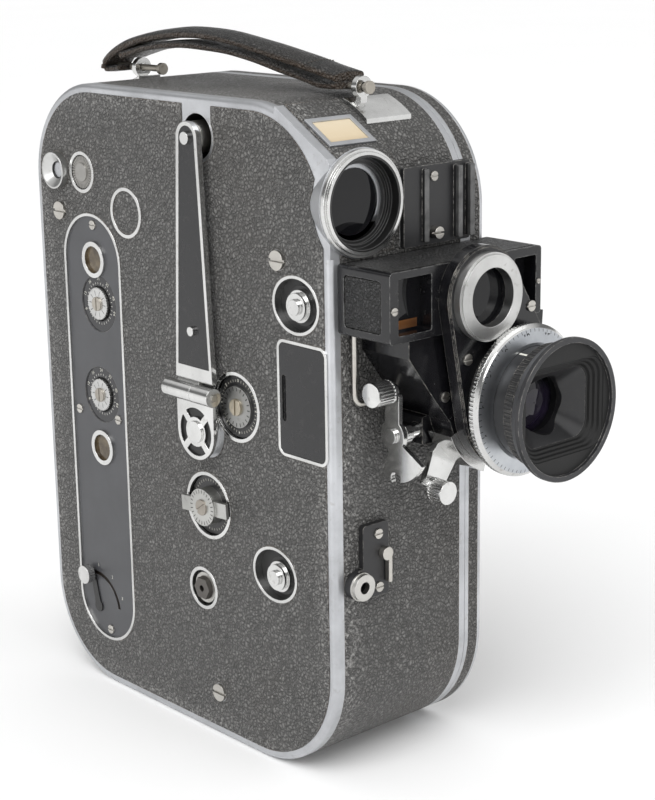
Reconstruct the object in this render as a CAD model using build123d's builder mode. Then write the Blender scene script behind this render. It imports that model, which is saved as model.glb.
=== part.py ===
from build123d import *
import math
import os

os.makedirs("parts", exist_ok=True)

# A spring-driven 16 mm movie camera.
# Origin: tripod socket, at the middle of the underside.
# X runs from the winding side (-X) to the film door (+X), Y from the lens (-Y)
# to the back, Z up.  All sizes are in millimetres.

# ---------------------------------------------------------------- case sizes
CASE_DEPTH = 151.0
CASE_HEIGHT = 212.0
SIDE_X = -32.25            # winding side
SEAM_X = 24.4              # where the door meets the body
DOOR_X = 32.25             # outer face of the door
FRONT_Y = -CASE_DEPTH / 2
REAR_Y = CASE_DEPTH / 2
CORNER_RADII = {           # (sign of Y, is it the top corner) -> radius
    (-1, True): 34.9,
    (-1, False): 36.5,
    (1, True): 33.1,
    (1, False): 33.1,
}
WALL = 3.0                 # wall around the edge of the case
SIDE_WALL = 4.5            # thicker winding side, it carries the fittings
LEATHER_DEPTH = 0.6        # groove the leather is glued into
LEATHER_PROUD = 0.2
SIDE_MARGIN = 2.84         # bare metal round the side leather
EDGE_MARGIN = 3.8          # bare metal beside the edge leather
EDGE_LEATHER_END = 21.9
GAP = 0.15                 # clearance between the door and the body

# ------------------------------------------------- fittings on the side (Y, Z)
CRANK_AXIS = (-14.9, 105.5)
GRIP_POCKET = (-14.9, 199.3)
COUNTER_DIAL = (-30.9, 115.9)
SPEED_KNOB = (-15.2, 79.9)
MOTOR_SHAFT = (-11.2, 50.4)
UPPER_OVAL = (-60.2, 152.8)
LOWER_OVAL = (-47.8, 64.6)
COVER = (-62.4, 123.3)
PANEL = (44.4, 92.5)
EYECUP = (62.0, 181.9)
FOCUS_DISC = (48.0, 182.4)
OIL_CAP = (23.8, 171.3)
LARGE_SCREWS = ((61.7, 168.1), (-52.3, 165.5), (-18.2, 15.4))
OVAL_SIZE = (21.2, 18.2)
COVER_SIZE = (22.6, 36.8)
PANEL_SIZE = (32.4, 152.8)

# ------------------------------------------------ fittings on the front (X, Z)
LENS_AXIS = (18.0, 123.0)
TELE_AXIS = (5.0, 156.2)
FINDER_AXIS = (-20.3, 183.8)
BASE_FRONT_Y = -95.5
PLATE_BACK_Y = -97.5
PLATE_FRONT_Y = -102.0
HOUSING_FRONT_Y = -97.5
HOUSING_ENDS = (-29.5, 34.5)
HOUSING_LEVELS = (146.0, 167.0)

# --------------------------------------------------------- inside the film side
PARTITION_X = 5.5
FEED_SPOOL = (22.0, 155.0)
TAKEUP_SPOOL = (22.0, 57.0)
SPROCKET = (-30.0, 122.5)
SPOOL_RADIUS = 46.0


# ------------------------------------------------------------------- helpers
def side_plane(x):
    """Plane across X whose sketch axes are Y and Z."""
    return Plane.YZ.offset(x)


def front_plane(y):
    """Plane across Y whose sketch axes are X and Z; extrusion runs forwards."""
    return Plane.XZ.offset(-y)


def round_x(centre, radius, x_from, x_to, mode=Mode.ADD):
    """Round boss or bore along X."""
    with BuildSketch(side_plane(x_from)) as profile:
        with Locations(centre):
            Circle(radius)
    extrude(profile.sketch, amount=x_to - x_from, mode=mode)


def round_y(centre, radius, y_from, y_to, mode=Mode.ADD):
    """Round boss or bore along Y."""
    with BuildSketch(front_plane(y_from)) as profile:
        with Locations(centre):
            Circle(radius)
    extrude(profile.sketch, amount=y_from - y_to, mode=mode)


def round_z(centre, radius, z_from, z_to, mode=Mode.ADD):
    """Round boss or bore along Z."""
    with BuildSketch(Plane.XY.offset(z_from)) as profile:
        with Locations(centre):
            Circle(radius)
    extrude(profile.sketch, amount=z_to - z_from, mode=mode)


def block_x(centre, size, radius, x_from, x_to, mode=Mode.ADD):
    """Round-cornered plate facing X."""
    with BuildSketch(side_plane(x_from)) as profile:
        with Locations(centre):
            RectangleRounded(size[0], size[1], radius)
    extrude(profile.sketch, amount=x_to - x_from, mode=mode)


def block_y(centre, size, radius, y_from, y_to, mode=Mode.ADD):
    """Round-cornered plate facing Y."""
    with BuildSketch(front_plane(y_from)) as profile:
        with Locations(centre):
            RectangleRounded(size[0], size[1], radius)
    extrude(profile.sketch, amount=y_from - y_to, mode=mode)


def case_outline(inset):
    """Side view of the case, drawn in by the inset."""
    with Locations((0, CASE_HEIGHT / 2)):
        Rectangle(CASE_DEPTH - 2 * inset, CASE_HEIGHT - 2 * inset)
    for (side, top), radius in CORNER_RADII.items():
        corner_z = CASE_HEIGHT - inset if top else inset
        corner = (side * (CASE_DEPTH / 2 - inset), corner_z)
        fillet(vertices().sort_by_distance(corner)[0], radius - inset)


def case_slab(inset, x_from, x_to, mode=Mode.ADD):
    """Slab with the outline of the case."""
    with BuildSketch(side_plane(x_from)) as profile:
        case_outline(inset)
    extrude(profile.sketch, amount=x_to - x_from, mode=mode)


def screw_x(centre, radius, x_face, height, depth):
    """Slotted cheese-head screw facing -X; its shank goes into the wall."""
    round_x(centre, radius, x_face - height, x_face)
    round_x(centre, radius * SHANK, x_face, x_face + depth)
    block_x(centre, (radius * 2.4, radius * 0.28), radius * 0.1,
            x_face - height, x_face - height * 0.4, Mode.SUBTRACT)


def screw_y(centre, radius, y_face, height, depth):
    """Slotted cheese-head screw facing -Y."""
    round_y(centre, radius, y_face, y_face - height)
    round_y(centre, radius * SHANK, y_face + depth, y_face)
    block_y(centre, (radius * 2.4, radius * 0.28), radius * 0.1,
            y_face - height * 0.4, y_face - height, Mode.SUBTRACT)


def knurl_x(centre, radius, depth, count, x_from, x_to):
    """Cuts a ring of grooves into the rim of a disc lying across X."""
    with BuildSketch(side_plane(x_from)) as profile:
        with Locations(centre):
            with PolarLocations(radius, count):
                Circle(depth)
    extrude(profile.sketch, amount=x_to - x_from, mode=Mode.SUBTRACT)


def knurl_y(centre, radius, depth, count, y_from, y_to):
    """Cuts a ring of grooves into the rim of a disc lying across Y."""
    with BuildSketch(front_plane(y_from)) as profile:
        with Locations(centre):
            with PolarLocations(radius, count):
                Circle(depth)
    extrude(profile.sketch, amount=y_from - y_to, mode=Mode.SUBTRACT)


def save(piece, name):
    """Labels a piece and writes its file."""
    piece.part.label = name
    export_step(piece.part, f"parts/{name}.step")


# ------------------------------------------------------------------- fasteners
RAIL_PLATE_FRONT = -77.2
RELEASE_FRONT = -77.5
PANEL_FACE_X = SIDE_X + 0.35
SIDE_SCREWS = (            # centre (Y, Z), head radius, face X, head height, depth
    (LARGE_SCREWS[0], 3.1, SIDE_X, 1.1, 1.5),
    (LARGE_SCREWS[1], 3.1, SIDE_X, 1.1, 1.5),
    (LARGE_SCREWS[2], 3.0, SIDE_X, 1.1, 1.5),
    ((43.7, 165.0), 1.6, PANEL_FACE_X, 0.5, 0.8),
    ((56.4, 98.8), 1.6, PANEL_FACE_X, 0.5, 0.8),
    ((33.7, 99.0), 1.6, PANEL_FACE_X, 0.5, 0.8),
    ((43.8, 19.8), 1.6, PANEL_FACE_X, 0.5, 0.8),
)
FRONT_SCREWS = (           # centre (X, Z), head radius, face Y, head height, depth
    ((8.6, 188.8), 1.5, RAIL_PLATE_FRONT, 0.5, 1.0),
    ((8.8, 171.8), 1.9, RAIL_PLATE_FRONT, 2.4, 1.0),
    ((-15.9, 81.6), 1.6, RELEASE_FRONT, 0.6, 0.8),
    ((-15.7, 64.3), 1.6, RELEASE_FRONT, 0.6, 0.8),
    ((25.0, 150.2), 1.7, PLATE_FRONT_Y, 0.6, 1.0),
    ((-2.4, 138.2), 1.7, PLATE_FRONT_Y, 0.6, 1.0),
    ((-5.2, 126.2), 1.6, BASE_FRONT_Y, 0.6, 1.0),
    ((-27.9, 155.8), 1.2, HOUSING_FRONT_Y, 0.5, 0.8),
    ((33.2, 156.0), 0.8, HOUSING_FRONT_Y, 0.4, 0.8),
)
SHANK = 0.5                            # shank radius as a part of the head radius


def cut_shanks():
    """Opens the holes for the screw shanks."""
    for centre, radius, face, _, depth in SIDE_SCREWS:
        round_x(centre, radius * SHANK, face, face + depth, Mode.SUBTRACT)
    for centre, radius, face, _, depth in FRONT_SCREWS:
        round_y(centre, radius * SHANK, face + depth, face, Mode.SUBTRACT)


# ----------------------------------------------------------------- the case
RIM_WIDTH = 1.0                        # bright rims round the recesses
RIM_PROUD = 0.4
DIAL_DEPTH = 2.2
OVAL_DEPTH = 2.5
COVER_DEPTH = 2.5
PANEL_DEPTH = 1.6
DISC_DEPTH = 1.5
POCKET_RADIUS = 7.2
POCKET_FLOOR_X = -15.5
POCKET_TUBE_WALL = 1.5
FACET_BACK = (-52.0, 211.2)            # flat that carries the light window (Y, Z)
FACET_FRONT = (-74.5, 197.6)
FACET_TILT = math.degrees(math.atan2(211.2 - 197.6, 74.5 - 52.0))
FINDER_BLOCK_X = -7.0
RAIL_PLATE = (10.1, 180.3)             # middle of the accessory rail plate (X, Z)
RAIL_OPENING = (28.5, 24.5)
FINDER_BORE = 13.9
FINDER_GLASS = 10.0
FINDER_SEAT_Y = -72.5
FINDER_RING = 16.0
LENS_PORT = 6.0
FLARE_CENTRE = (-88.9, 184.5)          # bow in the leather beside the finder
FLARE_RADIUS = 20.8
TAB_WIDTH = 14.4                       # bare strip above the grip pocket
SOCKET_RADIUS = 3.97                   # tripod thread, core size
SOCKET_DEPTH = 7.5
SOCKET_PLATE = 9.0
SHAFT = 4.0
KNOB_SHAFT = 2.0
RUN = 0.05                             # radial running clearance


def finder_wedge(proud, x_from, x_to, mode=Mode.ADD):
    """Sloping block that carries the light window."""
    lift_y = -0.52 * proud
    lift_z = 0.86 * proud
    with BuildSketch(side_plane(x_from)) as profile:
        with BuildLine():
            Polyline(
                (FACET_BACK[0] + lift_y, FACET_BACK[1] + lift_z),
                (FACET_FRONT[0] + lift_y, FACET_FRONT[1] + lift_z),
                (FRONT_Y - proud, FACET_FRONT[1] - 1.5),
                (FRONT_Y - proud, 168.5),
                (-60.0, 168.5),
                (-50.0, 200.0),
                (FACET_BACK[0] + lift_y, FACET_BACK[1] + lift_z),
            )
        make_face()
    extrude(profile.sketch, amount=x_to - x_from, mode=mode)


def finder_cone(proud, mode=Mode.ADD):
    """Cone that flares out of the corner to meet the finder ring."""
    with BuildSketch(front_plane(-62.0)) as narrow_end:
        with Locations(FINDER_AXIS):
            Circle(9.5 + proud)
    with BuildSketch(front_plane(FRONT_Y - 0.4)) as wide_end:
        with Locations(FINDER_AXIS):
            Circle(16.3 + proud)
    loft([narrow_end.sketch, wide_end.sketch], mode=mode)


def oval_x(centre, inset, x_from, x_to, mode=Mode.ADD):
    """Oval plate or recess facing X."""
    with BuildSketch(side_plane(x_from)) as profile:
        with Locations(centre):
            Ellipse(OVAL_SIZE[0] / 2 - inset, OVAL_SIZE[1] / 2 - inset)
    extrude(profile.sketch, amount=x_to - x_from, mode=mode)


def cover_x(inset, x_from, x_to, mode=Mode.ADD):
    """Upright round-cornered cover near the front edge."""
    size = (COVER_SIZE[0] - 2 * inset, COVER_SIZE[1] - 2 * inset)
    block_x(COVER, size, 3.2 - inset, x_from, x_to, mode)


def panel_x(inset, x_from, x_to, mode=Mode.ADD):
    """Tall round-ended panel at the back of the side."""
    width = PANEL_SIZE[0] - 2 * inset
    height = PANEL_SIZE[1] - 2 * inset
    block_x(PANEL, (width, height), width / 2 - 0.01, x_from, x_to, mode)


SIDE_ROUNDS = {            # fitting -> (centre, radius, pocket depth)
    "counter dial": (COUNTER_DIAL, 11.4, DIAL_DEPTH),
    "speed knob": (SPEED_KNOB, 11.3, DIAL_DEPTH),
    "motor shaft": (MOTOR_SHAFT, 7.3, DIAL_DEPTH),
    "focus disc": (FOCUS_DISC, 7.0, DISC_DEPTH),
    "oil cap": (OIL_CAP, 8.4, DISC_DEPTH),
}


def cut_side_fittings(x_from, x_to):
    """Opens the side leather round every fitting."""
    for centre, radius, _ in SIDE_ROUNDS.values():
        round_x(centre, radius, x_from, x_to, Mode.SUBTRACT)
    round_x(CRANK_AXIS, 9.4, x_from, x_to, Mode.SUBTRACT)
    round_x(GRIP_POCKET, 8.4, x_from, x_to, Mode.SUBTRACT)
    round_x(EYECUP, 6.3, x_from, x_to, Mode.SUBTRACT)
    for centre in LARGE_SCREWS:
        round_x(centre, 3.3, x_from, x_to, Mode.SUBTRACT)
    for centre in (UPPER_OVAL, LOWER_OVAL):
        oval_x(centre, 0, x_from, x_to, Mode.SUBTRACT)
    cover_x(0, x_from, x_to, Mode.SUBTRACT)
    panel_x(0, x_from, x_to, Mode.SUBTRACT)
    tab_centre = (GRIP_POCKET[0], (GRIP_POCKET[1] + CASE_HEIGHT) / 2)
    block_x(tab_centre, (TAB_WIDTH, CASE_HEIGHT - GRIP_POCKET[1]), 0.5,
            x_from, x_to, Mode.SUBTRACT)
    round_x(FLARE_CENTRE, FLARE_RADIUS, x_from, x_to, Mode.SUBTRACT)


def side_leather(x_from, x_to, mode=Mode.ADD):
    """Flat leather panel on the winding side."""
    with BuildPart(mode=Mode.PRIVATE) as panel:
        case_slab(SIDE_MARGIN, x_from, x_to)
        cut_side_fittings(x_from, x_to)
        finder_cone(0.05, Mode.SUBTRACT)
    add(panel.part, mode=mode)


def edge_leather(proud, mode=Mode.ADD):
    """Leather band round the edge of the body."""
    with BuildPart(mode=Mode.PRIVATE) as band:
        case_slab(-proud, SIDE_X + EDGE_MARGIN, EDGE_LEATHER_END)
        case_slab(LEATHER_DEPTH, SIDE_X + EDGE_MARGIN, EDGE_LEATHER_END, Mode.SUBTRACT)
        finder_wedge(0, SIDE_X, FINDER_BLOCK_X, Mode.SUBTRACT)
        finder_cone(0, Mode.SUBTRACT)
        round_z((0, 0), SOCKET_PLATE, -1.0, 1.0, Mode.SUBTRACT)
        round_y(FINDER_AXIS, FINDER_RING + 0.1, -74.0, -77.0, Mode.SUBTRACT)
        round_y(LENS_AXIS, LENS_PORT, -74.0, -77.0, Mode.SUBTRACT)
        block_y(RAIL_PLATE, RAIL_OPENING, 0.8, -74.0, -77.0, Mode.SUBTRACT)
    add(band.part, mode=mode)


with BuildPart() as body_shell:
    case_slab(0, SIDE_X, SEAM_X)
    rim = body_shell.edges().filter_by(lambda e: abs(e.center().X - SIDE_X) < 0.01)
    fillet(rim, 1.6)
    finder_wedge(0, SIDE_X, FINDER_BLOCK_X)
    finder_cone(0)
    case_slab(WALL, SIDE_X + SIDE_WALL, SEAM_X, Mode.SUBTRACT)
    round_x(GRIP_POCKET, POCKET_RADIUS + POCKET_TUBE_WALL,
            SIDE_X + 1.0, POCKET_FLOOR_X + POCKET_TUBE_WALL)
    round_z((0, 0), SOCKET_PLATE + 1.0, WALL - 0.5, SOCKET_DEPTH + 2.5)
    edge_leather(0.5, Mode.SUBTRACT)
    side_leather(SIDE_X, SIDE_X + LEATHER_DEPTH, Mode.SUBTRACT)
    for centre, radius, depth in SIDE_ROUNDS.values():
        round_x(centre, radius, SIDE_X, SIDE_X + depth, Mode.SUBTRACT)
    for centre in (UPPER_OVAL, LOWER_OVAL):
        oval_x(centre, 0, SIDE_X, SIDE_X + OVAL_DEPTH, Mode.SUBTRACT)
    cover_x(0, SIDE_X, SIDE_X + COVER_DEPTH, Mode.SUBTRACT)
    panel_x(0, SIDE_X, SIDE_X + PANEL_DEPTH, Mode.SUBTRACT)
    round_x(GRIP_POCKET, POCKET_RADIUS, SIDE_X - 1.0, POCKET_FLOOR_X, Mode.SUBTRACT)
    round_x(CRANK_AXIS, SHAFT, SIDE_X, SIDE_X + SIDE_WALL, Mode.SUBTRACT)
    round_x(MOTOR_SHAFT, SHAFT + RUN, SIDE_X, SIDE_X + SIDE_WALL, Mode.SUBTRACT)
    round_x(SPEED_KNOB, KNOB_SHAFT + RUN, SIDE_X, SIDE_X + SIDE_WALL, Mode.SUBTRACT)
    round_x(COUNTER_DIAL, KNOB_SHAFT + RUN, SIDE_X, SIDE_X + SIDE_WALL, Mode.SUBTRACT)
    round_y(FINDER_AXIS, FINDER_BORE, FINDER_SEAT_Y, -78.0, Mode.SUBTRACT)
    round_y(FINDER_AXIS, FINDER_GLASS, -66.0, -78.0, Mode.SUBTRACT)
    cut_shanks()
    round_y(LENS_AXIS, LENS_PORT, -70.0, -78.0, Mode.SUBTRACT)
    round_z((0, 0), SOCKET_RADIUS, -1.0, SOCKET_DEPTH, Mode.SUBTRACT)
save(body_shell, "body_shell")

FACET_MIDDLE = Vector(
    -18.3,
    FACET_BACK[0] - 15.2 * math.cos(math.radians(FACET_TILT)),
    FACET_BACK[1] - 15.2 * math.sin(math.radians(FACET_TILT)),
)
FACET_NORMAL = Vector(
    0,
    -math.sin(math.radians(FACET_TILT)),
    math.cos(math.radians(FACET_TILT)),
)
WINDOW_SIZE = (18.4, 13.2)
SKIN = 0.3                             # leather on the finder block


def window_plate(size, height_from, height_to, mode=Mode.ADD):
    """Rectangular plate lying on the sloping facet."""
    facet = Plane(origin=FACET_MIDDLE, x_dir=(1, 0, 0), z_dir=FACET_NORMAL)
    with BuildSketch(facet.offset(height_from)) as profile:
        Rectangle(size[0], size[1])
    extrude(profile.sketch, amount=height_to - height_from, mode=mode)


def finder_skin():
    """Leather on the sloping facet and beside the finder ring."""
    with BuildPart(mode=Mode.PRIVATE) as skin:
        finder_wedge(SKIN, SIDE_X + EDGE_MARGIN, FINDER_BLOCK_X)
        finder_wedge(0, SIDE_X, FINDER_BLOCK_X + 1.0, Mode.SUBTRACT)
        case_slab(0, SIDE_X, SEAM_X, Mode.SUBTRACT)
        finder_cone(0.1, Mode.SUBTRACT)
        window_opening = (WINDOW_SIZE[0] + 0.4, WINDOW_SIZE[1] + 0.4)
        window_plate(window_opening, -1.0, 2.0, Mode.SUBTRACT)
    add(skin.part)


with BuildPart() as body_leather:
    side_leather(SIDE_X - LEATHER_PROUD, SIDE_X + LEATHER_DEPTH)
    edge_leather(0)
    finder_skin()
    round_x(OIL_CAP, 7.1, SIDE_X - LEATHER_PROUD, SIDE_X + DISC_DEPTH)
save(body_leather, "body_leather")


# ------------------------------------------------------------------ film door
DOOR_BACK_X = SEAM_X + GAP
DOOR_SKIN_X = 30.0                     # inside of the door panel
DOOR_EDGE_LEATHER = (26.2, 30.4)
DOOR_LOCK = (0.0, 106.0)


def door_edge_leather(proud, mode=Mode.ADD):
    """Leather band round the edge of the door."""
    with BuildPart(mode=Mode.PRIVATE) as band:
        case_slab(-proud, *DOOR_EDGE_LEATHER)
        case_slab(LEATHER_DEPTH, *DOOR_EDGE_LEATHER, Mode.SUBTRACT)
    add(band.part, mode=mode)


def door_side_leather(x_from, x_to, mode=Mode.ADD):
    """Flat leather panel on the door, open round the lock."""
    with BuildPart(mode=Mode.PRIVATE) as panel:
        case_slab(SIDE_MARGIN, x_from, x_to)
        round_x(DOOR_LOCK, 12.0, x_from, x_to, Mode.SUBTRACT)
    add(panel.part, mode=mode)


with BuildPart() as door_shell:
    case_slab(0, DOOR_BACK_X, DOOR_X)
    rim = door_shell.edges().filter_by(lambda e: abs(e.center().X - DOOR_X) < 0.01)
    fillet(rim, 1.2)
    case_slab(WALL, DOOR_BACK_X, DOOR_SKIN_X, Mode.SUBTRACT)
    door_edge_leather(0.5, Mode.SUBTRACT)
    door_side_leather(DOOR_X - LEATHER_DEPTH, DOOR_X, Mode.SUBTRACT)
    round_x(DOOR_LOCK, 3.0 + RUN, DOOR_SKIN_X, DOOR_X, Mode.SUBTRACT)
save(door_shell, "door_shell")

with BuildPart() as door_leather:
    door_edge_leather(0)
    door_side_leather(DOOR_X - LEATHER_DEPTH, DOOR_X + LEATHER_PROUD)
save(door_leather, "door_leather")

with BuildPart() as door_lock:
    round_x(DOOR_LOCK, 3.0, 28.3, DOOR_X + 0.5)
    round_x(DOOR_LOCK, 11.0, DOOR_X + RUN, DOOR_X + 1.4)
    block_x(DOOR_LOCK, (19.0, 6.0), 2.5, DOOR_X + 1.4, DOOR_X + 4.2)
    block_x((DOOR_LOCK[0], DOOR_LOCK[1] + 5.0), (6.0, 18.0), 1.0, 28.3, 29.8)
save(door_lock, "door_lock")

# ------------------------------------------------------------- inner mechanism
PARTITION = 2.0
BARREL_RADIUS = 34.0
BARREL_GEAR = 37.0
FIRST_PINION = 17.8
SECOND_WHEEL = 40.0
SPROCKET_WHEEL = 34.0
SHUTTER_AXIS = (-4.0, 122.5)           # X, Z
SHUTTER_RADIUS = 23.4
SHUTTER_Y = (-69.8, -71.0)
GATE_Y = (-64.5, -66.5)


def gear_x(centre, tip_radius, tooth, count, x_from, x_to):
    """Toothed wheel lying across X, its teeth cut as round notches."""
    round_x(centre, tip_radius, x_from, x_to)
    knurl_x(centre, tip_radius, tooth, count, x_from, x_to)


with BuildPart() as partition_plate:
    case_slab(WALL, PARTITION_X, PARTITION_X + PARTITION)
    block_x((-70.0, 122.5), (15.0, 56.0), 2.0, PARTITION_X, PARTITION_X + PARTITION,
            Mode.SUBTRACT)
    round_x(SPROCKET, 3.0 + RUN, PARTITION_X, PARTITION_X + PARTITION, Mode.SUBTRACT)
    round_x(MOTOR_SHAFT, SHAFT + RUN, PARTITION_X, PARTITION_X + PARTITION, Mode.SUBTRACT)
    round_z((0, 0), SOCKET_PLATE + 1.0, 0, SOCKET_DEPTH + 2.5, Mode.SUBTRACT)
    for centre in (FEED_SPOOL, TAKEUP_SPOOL):
        round_x(centre, SHAFT, PARTITION_X, PARTITION_X + PARTITION, Mode.SUBTRACT)
save(partition_plate, "partition_plate")

with BuildPart() as spring_barrel:
    round_x(CRANK_AXIS, BARREL_RADIUS, -22.0, -6.0)
    gear_x(CRANK_AXIS, BARREL_GEAR, 1.0, 74, -6.0, -3.5)
    round_x(CRANK_AXIS, BARREL_RADIUS - 2.0, -20.5, -7.5, Mode.SUBTRACT)
    round_x(CRANK_AXIS, SHAFT + 3.0, -22.0, -3.5)
    round_x(CRANK_AXIS, SHAFT + RUN, -22.0, -3.5, Mode.SUBTRACT)
save(spring_barrel, "spring_barrel")

with BuildPart() as train_gear:
    gear_x(MOTOR_SHAFT, FIRST_PINION, 1.0, 36, -6.0, -3.5)
    gear_x(MOTOR_SHAFT, SECOND_WHEEL, 1.0, 80, 0.0, 2.0)
    round_x(MOTOR_SHAFT, SHAFT + 3.0, -6.0, 2.0)
    round_x(MOTOR_SHAFT, SHAFT, -6.0, 2.0, Mode.SUBTRACT)
save(train_gear, "train_gear")

with BuildPart() as sprocket:
    round_x(SPROCKET, 10.0, 9.0, 27.0)
    round_x(SPROCKET, 8.5, 12.0, 24.0, Mode.SUBTRACT)
    round_x(SPROCKET, 8.5, 11.9, 24.1)
    with BuildSketch(side_plane(11.0)) as teeth:
        with Locations(SPROCKET):
            with PolarLocations(10.2, 16):
                Circle(0.7)
    extrude(teeth.sketch, amount=0.9)
    round_x(SPROCKET, 3.0, -1.5, 9.0)
    gear_x(SPROCKET, SPROCKET_WHEEL, 1.0, 68, 0.0, 2.0)
save(sprocket, "sprocket")

with BuildPart() as shutter:
    round_y(SHUTTER_AXIS, SHUTTER_RADIUS, *SHUTTER_Y)
    with BuildSketch(front_plane(SHUTTER_Y[0])) as opening:
        with BuildLine():
            start = (SHUTTER_AXIS[0] + SHUTTER_RADIUS + 2.0, SHUTTER_AXIS[1])
            end = (SHUTTER_AXIS[0] - SHUTTER_RADIUS - 2.0, SHUTTER_AXIS[1])
            top = (SHUTTER_AXIS[0], SHUTTER_AXIS[1] + SHUTTER_RADIUS + 2.0)
            ThreePointArc(start, top, end)
            Line(end, start)
        make_face()
        with Locations(SHUTTER_AXIS):
            Circle(6.0, mode=Mode.SUBTRACT)
    extrude(opening.sketch, amount=SHUTTER_Y[0] - SHUTTER_Y[1], mode=Mode.SUBTRACT)
    round_y(SHUTTER_AXIS, KNOB_SHAFT, -60.0, SHUTTER_Y[0])
save(shutter, "shutter")


def spool(centre):
    """Film spool with pierced flanges."""
    with BuildPart() as piece:
        round_x(centre, 16.0, 9.0, 27.0)
        for x_from in (9.0, 26.0):
            round_x(centre, SPOOL_RADIUS, x_from, x_from + 1.0)
        with BuildSketch(side_plane(9.0)) as windows:
            with Locations(centre):
                with PolarLocations(31.0, 3):
                    Circle(9.0)
        extrude(windows.sketch, amount=18.0, mode=Mode.SUBTRACT)
        round_x(centre, SHAFT + RUN, 9.0, 27.0, Mode.SUBTRACT)
    return piece


feed_spool = spool(FEED_SPOOL)
save(feed_spool, "feed_spool")
takeup_spool = spool(TAKEUP_SPOOL)
save(takeup_spool, "takeup_spool")

with BuildPart() as spool_spindles:
    for centre in (FEED_SPOOL, TAKEUP_SPOOL):
        round_x(centre, SHAFT, PARTITION_X - 1.5, 28.0)
        round_x(centre, SHAFT + 2.0, PARTITION_X + PARTITION, 8.8)
        round_x(centre, SHAFT + 2.0, PARTITION_X - 2.5, PARTITION_X)
save(spool_spindles, "spool_spindles")

with BuildPart() as film_gate:
    block_y((8.5, 122.5), (37.0, 46.0), 2.0, *GATE_Y)
    block_y(LENS_AXIS, (10.3, 7.5), 0.5, *GATE_Y, Mode.SUBTRACT)
    round_y(SHUTTER_AXIS, KNOB_SHAFT + RUN, *GATE_Y, Mode.SUBTRACT)
save(film_gate, "film_gate")

with BuildPart() as pressure_plate:
    block_y((17.5, 123.0), (17.0, 34.0), 1.5, -61.0, -63.9)
    block_x((-56.0, 123.0), (14.0, 12.0), 1.0, PARTITION_X + PARTITION, 10.0)
save(pressure_plate, "pressure_plate")

# -------------------------------------------------------- finder and its window
with BuildPart() as finder_ring:
    round_y(FINDER_AXIS, FINDER_RING, -75.9, -77.4)
    round_y(FINDER_AXIS, FINDER_RING - 0.9, -77.4, -78.2)
    round_y(FINDER_AXIS, FINDER_BORE, FINDER_SEAT_Y, -75.9)
    round_y(FINDER_AXIS, FINDER_BORE - 0.4, -75.0, -78.2, Mode.SUBTRACT)
    round_y(FINDER_AXIS, FINDER_BORE - 1.5, -74.0, -75.0, Mode.SUBTRACT)
    round_y(FINDER_AXIS, FINDER_BORE - 2.6, FINDER_SEAT_Y, -74.0, Mode.SUBTRACT)
save(finder_ring, "finder_ring")

with BuildPart() as finder_lens:
    round_y(FINDER_AXIS, FINDER_GLASS, -70.0, -72.0)
save(finder_lens, "finder_lens")

with BuildPart() as finder_eyepiece:
    round_y(FINDER_AXIS, 8.0, 79.5, REAR_Y - 2.0)
    round_y(FINDER_AXIS, 4.0, 79.5, REAR_Y - 2.0, Mode.SUBTRACT)
    round_y(FINDER_AXIS, 6.5, 79.5, 78.0, Mode.SUBTRACT)
    case_slab(-LEATHER_PROUD, SIDE_X, SEAM_X, Mode.SUBTRACT)
save(finder_eyepiece, "finder_eyepiece")

with BuildPart() as window_frame:
    window_plate(WINDOW_SIZE, 0, 0.9)
    window_plate((WINDOW_SIZE[0] - 3.2, WINDOW_SIZE[1] - 3.2), 0, 0.9, Mode.SUBTRACT)
save(window_frame, "window_frame")

with BuildPart() as frosted_window:
    window_plate((WINDOW_SIZE[0] - 3.2, WINDOW_SIZE[1] - 3.2), 0, 0.5)
save(frosted_window, "frosted_window")

# --------------------------------------------------- accessory rail on the front
RAIL_PLATE_SIZE = (28.2, 24.2)
RAIL_BARS = (              # middle X, width, front face Y
    (4.6, 1.9, -78.4),
    (18.0, 1.8, -79.4),
    (23.2, 1.9, -79.4),
)

with BuildPart() as rail_plate:
    block_y(RAIL_PLATE, RAIL_PLATE_SIZE, 0.8, FRONT_Y, RAIL_PLATE_FRONT)
    for rail_x, rail_width, rail_front in RAIL_BARS:
        block_y((rail_x, RAIL_PLATE[1]), (rail_width, 22.0), 0.4, RAIL_PLATE_FRONT, rail_front)
    cut_shanks()
save(rail_plate, "rail_plate")

# ------------------------------------------------------------------ rangefinder
HOUSING_BACK_Y = FRONT_Y
HOUSING_MIDDLE = (sum(HOUSING_ENDS) / 2, sum(HOUSING_LEVELS) / 2)
HOUSING_SIZE = (HOUSING_ENDS[1] - HOUSING_ENDS[0], HOUSING_LEVELS[1] - HOUSING_LEVELS[0])
LEFT_WINDOW = ((-19.4, 156.5), (13.4, 16.6))
RIGHT_WINDOW = ((27.4, 156.5), (9.6, 15.6))
WINDOW_POCKET = 6.0
END_PANEL = ((-86.0, 156.4), (15.6, 15.6))


def door_relief():
    """Keeps a front fitting clear of the door behind it."""
    block_y((SEAM_X + 20.0, 130.0), (40.0, 100.0), 0.5, -70.0, HOUSING_BACK_Y - 0.3,
            Mode.SUBTRACT)


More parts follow.
